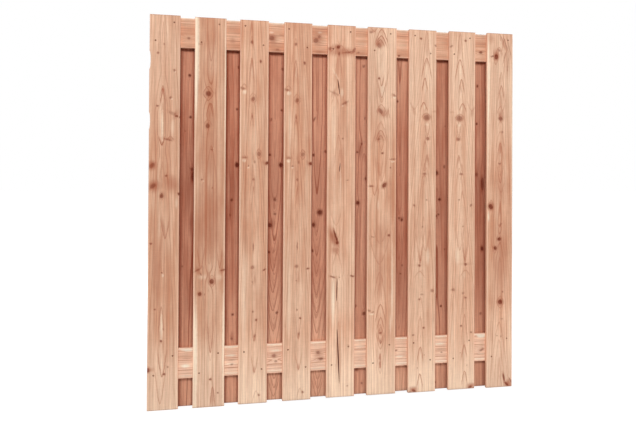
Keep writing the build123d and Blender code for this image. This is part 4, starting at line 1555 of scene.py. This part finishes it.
@dataclass
class Plank:
    """A planed board or rail, built on the box of its CAD node. Its sizes are the radius of the
    long arrises, the softened rim of the ends, the flat beside an arris, the length of a row
    of faces, how far the edges wander and how wide the zone is that wanders with them. The
    arrises and the rim are rounded in steps. The wander is a noise, read at a step for each
    metre of length, each seed and each side."""

    node: str
    grain: Grain
    seed: float
    arris: float = 2.6 * MM
    rim: float = 0.8 * MM
    shoulder: float = 1.4 * MM
    row: float = 15.0 * MM
    wave: float = 0.9 * MM
    edge_zone: float = 12.0 * MM
    arris_steps: int = 4
    rim_steps: int = 2
    wander: Vec3 = (4.0, 7.3, 3.1)
    hollows: tuple[Hollow, ...] = ()
    splits: tuple[Split, ...] = ()

    def build(self, finish: bpy.types.Material, slot: str) -> bpy.types.Object:
        """Builds the piece and joins it to the frame.

        Args:
            finish: Its material.
            slot: Not used.

        Returns:
            The new object.
        """
        piece = object_of(self.shape(), f"{self.node}_planed", finish)
        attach(piece, ROOT)
        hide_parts(self.node)
        return piece

    def shape(self) -> bmesh.types.BMesh:
        """The board's mesh in place, standing or lying as its grain says."""
        low, high = planed_box(self.node)
        size = high - low
        if self.grain is Grain.ALONG:
            size = Vector((size.z, size.y, size.x))
        shape = bmesh.new()
        bmesh.ops.create_cube(shape, size=1.0)
        bmesh.ops.scale(shape, vec=size, verts=shape.verts)
        self.bevel(shape, self.long_edges(shape), self.arris, self.arris_steps)
        self.bevel(shape, self.end_edges(shape, size), self.rim, self.rim_steps)
        self.cut_shoulders(shape, size)
        self.cut_rows(shape, size)
        self.wear(shape, size)
        if self.grain is Grain.ALONG:
            bmesh.ops.rotate(shape, matrix=Matrix.Rotation(math.pi / 2, 3, "Y"), verts=shape.verts)
        bmesh.ops.translate(shape, vec=(low + high) / 2, verts=shape.verts)
        bmesh.ops.recalc_face_normals(shape, faces=shape.faces)
        for face in shape.faces:
            face.smooth = True
        for edge in shape.edges:
            edge.smooth = edge.calc_face_angle(0.0) < SHARP_ANGLE
        return shape

    def bevel(self, shape: bmesh.types.BMesh, edges: list[bmesh.types.BMEdge], width: float,
              segments: int) -> None:
        """Rounds some edges over a width in a number of steps."""
        bmesh.ops.bevel(shape, geom=edges, offset=width, offset_type="OFFSET", segments=segments,
                        profile=0.5, affect="EDGES", material=-1)

    def long_edges(self, shape: bmesh.types.BMesh) -> list[bmesh.types.BMEdge]:
        """The edges that run along the fibres."""
        found = []
        for edge in shape.edges:
            way = edge.verts[1].co - edge.verts[0].co
            if abs(way.z) > ALONG_SHARE * way.length:
                found.append(edge)
        return found

    def end_edges(self, shape: bmesh.types.BMesh, size: Vector) -> list[bmesh.types.BMEdge]:
        """The edges round the two sawn ends."""
        found = []
        for edge in shape.edges:
            ends = [abs(abs(vert.co.z) - size.z / 2) < TOUCHING for vert in edge.verts]
            if all(ends) and any(abs(face.normal.z) < 0.5 for face in edge.link_faces):
                found.append(edge)
        return found

    def cut_shoulders(self, shape: bmesh.types.BMesh, size: Vector) -> None:
        """Adds an edge beside each arris, so that the flats shade flat, and along the splits."""
        across = size.x / 2 - self.arris - self.shoulder
        through = size.y / 2 - self.arris - self.shoulder
        planes = [((side * across, 0, 0), (1, 0, 0)) for side in (-1, 1)]
        planes += [((0, side * through, 0), (0, 1, 0)) for side in (-1, 1)]
        if self.splits:
            middle = self.split_x()
            planes += [((middle + step * self.shoulder, 0, 0), (1, 0, 0)) for step in SPLIT_STEPS]
        for place, normal in planes:
            geometry = shape.verts[:] + shape.edges[:] + shape.faces[:]
            bmesh.ops.bisect_plane(shape, geom=geometry, plane_co=place, plane_no=normal)

    def cut_rows(self, shape: bmesh.types.BMesh, size: Vector) -> None:
        """Cuts the long faces into rows."""
        edges = [edge for edge in self.long_edges(shape) if edge.calc_length() > 0.5 * size.z]
        bmesh.ops.subdivide_edges(shape, edges=edges, cuts=int(size.z / self.row),
                                  use_grid_fill=True)

    def from_middle(self, x: float) -> float:
        """Metres from the board's middle, of a distance in millimetres from the panel's left."""
        low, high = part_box(self.node)
        return x * MM + CAD_LOW[0] - (low[0] + high[0]) / 2

    def split_x(self) -> float:
        """The middle of the splits' places, from the board's middle, in metres."""
        return self.from_middle(sum(split.x for split in self.splits) / len(self.splits))

    def wear(self, shape: bmesh.types.BMesh, size: Vector) -> None:
        """Moves the edges by a hair's breadth, and sinks the hollows and splits.

        Args:
            shape: The board's mesh, centred on the origin.
            size: Its size across, through and along.
        """
        low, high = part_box(self.node)
        foot = (low[2] + high[2]) / 2 - CAD_LOW[2]
        zone = self.arris + self.edge_zone
        middle = self.split_x() if self.splits else 0.0
        for vert in shape.verts:
            place = vert.co.copy()
            side = 1 if place.x > 0 else -1
            share = max(0.0, 1 - (size.x / 2 - abs(place.x)) / zone)
            steps = (place.z, self.seed, side)
            chance = noise.noise(Vector([step * pace for step, pace in zip(steps, self.wander)]))
            vert.co.x -= side * share * self.wave * (0.5 + chance)
            height = (place.z + foot) / MM
            if side < 0:
                for hollow in self.hollows:
                    reach = hollow.length / 2
                    dip = oval_share(height, hollow.z - reach, hollow.z + reach)
                    vert.co.x += share * hollow.depth * MM * dip
            if self.splits and place.y < -size.y / 2 + self.arris / 2:
                self.open_split(vert, place, height, middle)

    def split_line(self, height: float) -> float:
        """Where the line of the splits lies at a height, in panel millimetres.

        Args:
            height: Height above the panel's foot.

        Returns:
            Distance from the panel's left end, straight from tip to tip.
        """
        tips = []
        for split in self.splits:
            tips.append((split.low, split.x - split.lean / 2))
            tips.append((split.high, split.x + split.lean / 2))
        if height <= tips[0][0]:
            return tips[0][1]
        for (below, start), (above, end) in zip(tips, tips[1:]):
            if height <= above:
                return start + (end - start) * (height - below) / (above - below)
        return tips[-1][1]

    def open_split(self, vert: bmesh.types.BMVert, place: Vector, height: float,
                   middle: float) -> None:
        """Moves a vertex of the five columns that follow the splits.

        Args:
            vert: The vertex to move.
            place: Where it stood before any wear.
            height: Its height above the panel's foot, in millimetres.
            middle: The columns' middle from the board's middle, in metres.
        """
        step = round((place.x - middle) / self.shoulder)
        if step not in SPLIT_STEPS:
            return
        opening = 0.0
        half = SPLIT_SHUT
        for split in self.splits:
            share = oval_share(height, split.low, split.high)
            if share > 0:
                opening = share
                half = max(half, split.width * MM / 2 * share)
        vert.co.x = self.from_middle(self.split_line(height))
        if abs(step) == 2:
            vert.co.x += math.copysign(half, step)
        else:
            vert.co.x += math.copysign(half * SPLIT_FLOOR, step) if step else 0.0
            vert.co.y += SPLIT_DEPTH * MM * opening * (1.0 if step == 0 else SPLIT_WALL)


@dataclass
class FrontFace:
    """The nine boards on the front of the rails. The boards with hollows and splits are cut
    into finer rows."""

    looks: tuple[BoardLook, ...] = FRONT_LOOKS
    slot: str = "front_boards"
    hollow_board: int = 1
    split_board: int = 5
    fine_row: float = 5 * MM

    def build(self, groups: WoodGroups) -> list[bpy.types.Object]:
        """Builds the boards from left to right.

        Args:
            groups: The shared node groups.

        Returns:
            The boards.
        """
        made = []
        for number, look in enumerate(self.looks, start=1):
            node = f"front_board_{number}"
            plank = Plank(node, Grain.UP, float(number))
            if number == self.hollow_board:
                plank.hollows = BOARD_ONE_HOLLOWS
            if number == self.split_board:
                plank.splits = BOARD_FIVE_SPLITS
            if plank.hollows or plank.splits:
                plank.row = self.fine_row
            look = replace(look, pales=(*look.pales, FOOT_PAINTED_LIGHT))
            finish = WoodFinish(f"front_wood_{number}", FRONT_TONE, look, Grain.UP,
                                *span_of(node, Grain.UP), FRONT_FACE, float(number),
                                split=bool(plank.splits))
            made.append(plank.build(finish.material(groups), self.slot))
        return made


@dataclass
class BackFace:
    """The eight boards behind the gaps of the front face."""

    looks: tuple[BoardLook, ...] = BACK_LOOKS
    slot: str = "back_boards"
    first_seed: float = 21.0

    def build(self, groups: WoodGroups) -> list[bpy.types.Object]:
        """Builds the boards from left to right.

        Args:
            groups: The shared node groups.

        Returns:
            The boards.
        """
        made = []
        for number, (look, painted_shade_strips) in enumerate(zip(self.looks, painted_gap_shade())):
            look = replace(look, pales=(*look.pales, BACK_FOOT_PAINTED_LIGHT))
            node = f"back_board_{number + 1}"
            seed = self.first_seed + number
            finish = WoodFinish(f"back_wood_{number + 1}", BACK_TONE, look, Grain.UP,
                                *span_of(node, Grain.UP), BACK_FACE, seed, wear=0.2, streaks=0.5,
                                painted_shade_strips=painted_shade_strips)
            made.append(Plank(node, Grain.UP, seed).build(finish.material(groups), self.slot))
        return made


@dataclass
class Rails:
    """The two rails between the faces."""

    slot: str = "rails"
    first_seed: float = 41.0

    def build(self, groups: WoodGroups) -> list[bpy.types.Object]:
        """Builds both rails.

        Args:
            groups: The shared node groups.

        Returns:
            The rails.
        """
        made = []
        looks = {"upper_rail": UPPER_RAIL_LOOK, "lower_rail": LOWER_RAIL_LOOK}
        for number, (node, look) in enumerate(looks.items()):
            seed = self.first_seed + number
            finish = WoodFinish(f"{node}_wood", RAIL_TONE, look, Grain.ALONG,
                                *span_of(node, Grain.ALONG), RAIL_FACE, seed, streaks=0.55)
            made.append(Plank(node, Grain.ALONG, seed).build(finish.material(groups), self.slot))
        return made


@dataclass
class Screws:
    """Two countersunk screws at each crossing of a board and a rail, set on a diagonal.

    Its sizes are a head's radius, how proud of the wood it stands, the rise of its crown, its
    depth, the depth of its star-shaped recess, and its spread from the middle of the crossing
    with a small chance shift. The shank and the star's inner points are shares of their own
    radius, and the insets from the head's rim to the recess are shares of the head's radius.
    """

    radius: float = 3.8 * MM
    proud: float = 0.1 * MM
    crown: float = 0.2 * MM
    sunk: float = 2.4 * MM
    recess: float = 1.5 * MM
    shank: float = 0.5
    star: float = 0.62
    facets: int = 12
    crown_inset: float = 0.16
    recess_inset: float = 0.34
    wall_inset: float = 0.05
    spread_x: float = 42.0 * MM
    spread_z: float = 43.0 * MM
    shift_x: float = 5.0 * MM
    shift_z: float = 4.0 * MM
    chance: Vec3 = (1.7, 2.3, 3.1)
    chance_z: float = 1.9
    front_leans: tuple[int, ...] = (1, 1, -1, -1, 1, 1, -1, 1, 1)
    back_leans: tuple[int, ...] = (1, -1, 1, 1, -1, 1, -1, 1)

    def build(self, finish: bpy.types.Material) -> list[bpy.types.Object]:
        """Builds one piece of screws for each face.

        Args:
            finish: The screws' material.

        Returns:
            The two pieces.
        """
        made = []
        for side, prefix, leans, slot in (
                (Side.FRONT, "front_board", self.front_leans, "front_boards"),
                (Side.BACK, "back_board", self.back_leans, "back_boards")):
            shape = bmesh.new()
            for number, lean in enumerate(leans, start=1):
                for rail in ("upper_rail", "lower_rail"):
                    self.pair(shape, f"{prefix}_{number}", rail, side, lean, number)
            bmesh.ops.recalc_face_normals(shape, faces=shape.faces)
            piece = object_of(shape, f"{prefix}_screws", finish)
            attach(piece, ROOT)
            made.append(piece)
        return made

    def pair(self, shape: bmesh.types.BMesh, board: str, rail: str, side: Side, lean: int,
             number: int) -> None:
        """Adds the two screws of one crossing.

        Args:
            shape: Mesh that they go into.
            board: The board's node.
            rail: The rail's node.
            side: The face that the heads are on.
            lean: 1 where the upper screw is on the right, -1 on the left.
            number: The board's number, for small chance shifts.
        """
        low, high = planed_box(board)
        rail_low, rail_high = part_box(rail)
        face = low[1] if side is Side.FRONT else high[1]
        for upper in (-1, 1):
            steps = (number, upper, rail_low[2])
            chance = Vector([step * pace for step, pace in zip(steps, self.chance)])
            x = (low[0] + high[0]) / 2 + upper * lean * self.spread_x
            x += self.shift_x * noise.noise(chance)
            z = (rail_low[2] + rail_high[2]) / 2 + upper * self.spread_z
            z += self.shift_z * noise.noise(chance * self.chance_z)
            self.head(shape, Vector((x, face, z)), side)

    def head(self, shape: bmesh.types.BMesh, place: Vector, side: Side) -> None:
        """Adds one screw head with its driving recess.

        Args:
            shape: Mesh that it goes into.
            place: Point on the board's face.
            side: The face of the panel that it is on.
        """
        outward = side.value
        made = bmesh.ops.create_cone(shape, cap_ends=True, segments=self.facets,
                                     radius1=self.radius, radius2=self.radius * self.shank,
                                     depth=self.sunk)
        verts = made["verts"]
        turn = Matrix.Rotation(outward * math.pi / 2, 3, "X")
        bmesh.ops.rotate(shape, matrix=turn, verts=verts)
        lift = outward * (self.proud - self.sunk / 2)
        bmesh.ops.translate(shape, vec=place + Vector((0, lift, 0)), verts=verts)
        faces = {face for vert in verts for face in vert.link_faces}
        top = max(faces, key=lambda face: face.calc_center_median().y * outward)
        self.inset(shape, top, self.crown_inset, self.crown)
        self.inset(shape, top, self.recess_inset, 0.0)
        middle = top.calc_center_median()
        for vert in list(top.verts)[::2]:
            vert.co = middle + (vert.co - middle) * self.star
        self.inset(shape, top, self.wall_inset, -self.recess)

    def inset(self, shape: bmesh.types.BMesh, face: bmesh.types.BMFace, share: float,
              rise: float) -> None:
        """Shrinks a face by a share of the head's radius, and raises it."""
        bmesh.ops.inset_region(shape, faces=[face], thickness=self.radius * share, depth=rise)


@dataclass(frozen=True)
class Lamp:
    """A soft rectangular lamp: its place and aim from the middle of the panel, in metres."""

    name: str
    place: Vec3
    width: float
    height: float
    power: float
    aim: Vec3 = (0.0, 0.0, 0.0)

    def build(self, middle: Vector) -> None:
        """Hangs the lamp."""
        data = bpy.data.lights.new(self.name, "AREA")
        data.shape = "RECTANGLE"
        data.size = self.width
        data.size_y = self.height
        data.energy = self.power
        lamp = bpy.data.objects.new(self.name, data)
        lamp.location = middle + Vector(self.place)
        way = Vector(self.aim) - Vector(self.place)
        lamp.rotation_euler = way.to_track_quat("-Z", "Y").to_euler()
        lamp.visible_camera = False
        bpy.context.scene.collection.objects.link(lamp)


@dataclass
class Studio:
    """A plain pale floor, a white surround and soft lamps. The floor's own colour lights the
    panel from below. The camera sees the shade colour instead, with a glow that grows to its
    full level away from the panel, in metres."""

    floor_half: float = 40.0
    floor_level: float = 0.4
    floor_shade: float = 0.25
    floor_glow: Ease = Ease(1.0, 3.5, 0.84, 1.0)
    world_level: float = 0.1
    lamps: tuple[Lamp, ...] = (
        Lamp("key", (-0.9, -5.2, 4.9), 2.0, 2.0, 350.0),
        Lamp("left_rim", (-8.0, -2.2, 1.5), 2.0, 3.0, 200.0),
        Lamp("right_rim", (7.0, -3.4, 2.4), 2.0, 3.0, 150.0),
        Lamp("fill", (1.6, -3.8, -0.1), 3.0, 2.0, 9.0),
        Lamp("foot_glow", (0.05, -0.5, -0.86), 2.6, 0.1, 1.6, aim=(0.05, 0.0, -0.80)),
        Lamp("back_key", (1.0, 3.0, 2.6), 1.2, 1.2, 150.0),
        Lamp("back_fill", (-1.2, 3.8, -0.1), 3.0, 2.0, 12.0),
    )

    def build(self) -> None:
        """Builds the floor, the world and the lamps."""
        middle = Vector(((CAD_LOW[0] + CAD_HIGH[0]) / 2, 0.0, (CAD_LOW[2] + CAD_HIGH[2]) / 2))
        self.floor(middle)
        self.world()
        for lamp in self.lamps:
            lamp.build(middle)

    def floor(self, middle: Vector) -> None:
        """Lays the floor at the panel's foot."""
        shape = bmesh.new()
        bmesh.ops.create_grid(shape, x_segments=1, y_segments=1, size=self.floor_half)
        bmesh.ops.translate(shape, vec=(middle.x, 0, CAD_LOW[2]), verts=shape.verts)
        floor = object_of(shape, "floor", self.floor_finish(middle))

    def floor_finish(self, middle: Vector) -> bpy.types.Material:
        """A white floor that takes a soft shadow near the panel."""
        made, graph = empty_material("floor_white")
        place = graph.node("ShaderNodeTexCoord").outputs["Object"]
        away = graph.length(graph.vector("SUBTRACT", place, (middle.x, 0, 0)))
        plain = graph.node("ShaderNodeBsdfDiffuse")
        graph.feed(plain.inputs["Color"], (*(self.floor_level,) * 3, 1.0))
        shadowed = graph.node("ShaderNodeBsdfDiffuse")
        graph.feed(shadowed.inputs["Color"], (*(self.floor_shade,) * 3, 1.0))
        glow = graph.node("ShaderNodeEmission")
        graph.feed(glow.inputs["Strength"], graph.eased(away, self.floor_glow))
        seen_floor = graph.node("ShaderNodeAddShader")
        graph.feed(seen_floor.inputs[0], shadowed.outputs[0])
        graph.feed(seen_floor.inputs[1], glow.outputs[0])
        chosen = graph.node("ShaderNodeMixShader")
        graph.feed(chosen.inputs[0], self.rays(graph, "Camera", "Glossy"))
        graph.feed(chosen.inputs[1], plain.outputs[0])
        graph.feed(chosen.inputs[2], seen_floor.outputs[0])
        graph.output("ShaderNodeOutputMaterial", chosen.outputs[0])
        return made

    def rays(self, graph: Graph, *kinds: str) -> Socket:
        """1 for the rays of the named kinds, and 0 for all others."""
        path = graph.node("ShaderNodeLightPath")
        found = path.outputs[f"Is {kinds[0]} Ray"]
        for kind in kinds[1:]:
            found = graph.largest(found, path.outputs[f"Is {kind} Ray"])
        return found

    def world(self) -> None:
        """Sets a white surround that the camera sees as plain white."""
        made = bpy.data.worlds.new("surround")
        made.use_nodes = True
        made.node_tree.nodes.clear()
        graph = Graph(made.node_tree)
        seen = self.rays(graph, "Camera", "Glossy", "Transmission")
        surround = graph.node("ShaderNodeBackground")
        graph.feed(surround.inputs["Color"], (1.0, 1.0, 1.0, 1.0))
        level = graph.eased(seen, Ease(0.0, 1.0, self.world_level, 1.0))
        graph.feed(surround.inputs["Strength"], level)
        graph.output("ShaderNodeOutputWorld", surround.outputs[0])
        bpy.context.scene.world = made


@dataclass(frozen=True)
class Viewpoint:
    """The camera of the photograph: its place in metres, its angles in degrees, with yaw
    towards +X from +Y, pitch up and roll clockwise, its lens and sensor in millimetres and its
    shift as a share of the picture's width."""

    place: Vec3 = (0.205, -2.887, 0.862)
    yaw: float = 11.438
    pitch: float = 0.457
    roll: float = 0.315
    lens: float = 34.54
    sensor: float = 36.0
    shift_y: float = -0.0641

    def build(self) -> None:
        """Sets the scene's camera."""
        yaw, pitch, roll = (math.radians(angle) for angle in (self.yaw, self.pitch, self.roll))
        ahead = Vector((math.sin(yaw) * math.cos(pitch), math.cos(yaw) * math.cos(pitch),
                        math.sin(pitch)))
        level = Vector((math.cos(yaw), -math.sin(yaw), 0.0))
        above = level.cross(ahead)
        right = math.cos(roll) * level + math.sin(roll) * above
        up = -math.sin(roll) * level + math.cos(roll) * above
        data = bpy.data.cameras.new("viewpoint")
        data.lens = self.lens
        data.sensor_width = self.sensor
        data.shift_y = self.shift_y
        camera = bpy.data.objects.new("viewpoint", data)
        turned = Matrix((right, up, -ahead)).transposed().to_4x4()
        camera.matrix_world = Matrix.Translation(self.place) @ turned
        bpy.context.scene.collection.objects.link(camera)
        bpy.context.scene.camera = camera


def main() -> None:
    """Builds the panel, the studio and the camera."""
    logging.basicConfig(level=logging.INFO)
    bpy.context.scene.view_settings.view_transform = "Standard"
    Viewpoint().build()
    Studio().build()
    groups = WoodGroups()
    pieces = FrontFace().build(groups)
    pieces += BackFace().build(groups)
    pieces += Rails().build(groups)
    pieces += Screws().build(ScrewFinish().material())
    for piece in pieces:
        LOG.info("%s: %d faces", piece.name, len(piece.data.polygons))


if __name__ == "__main__":
    main()
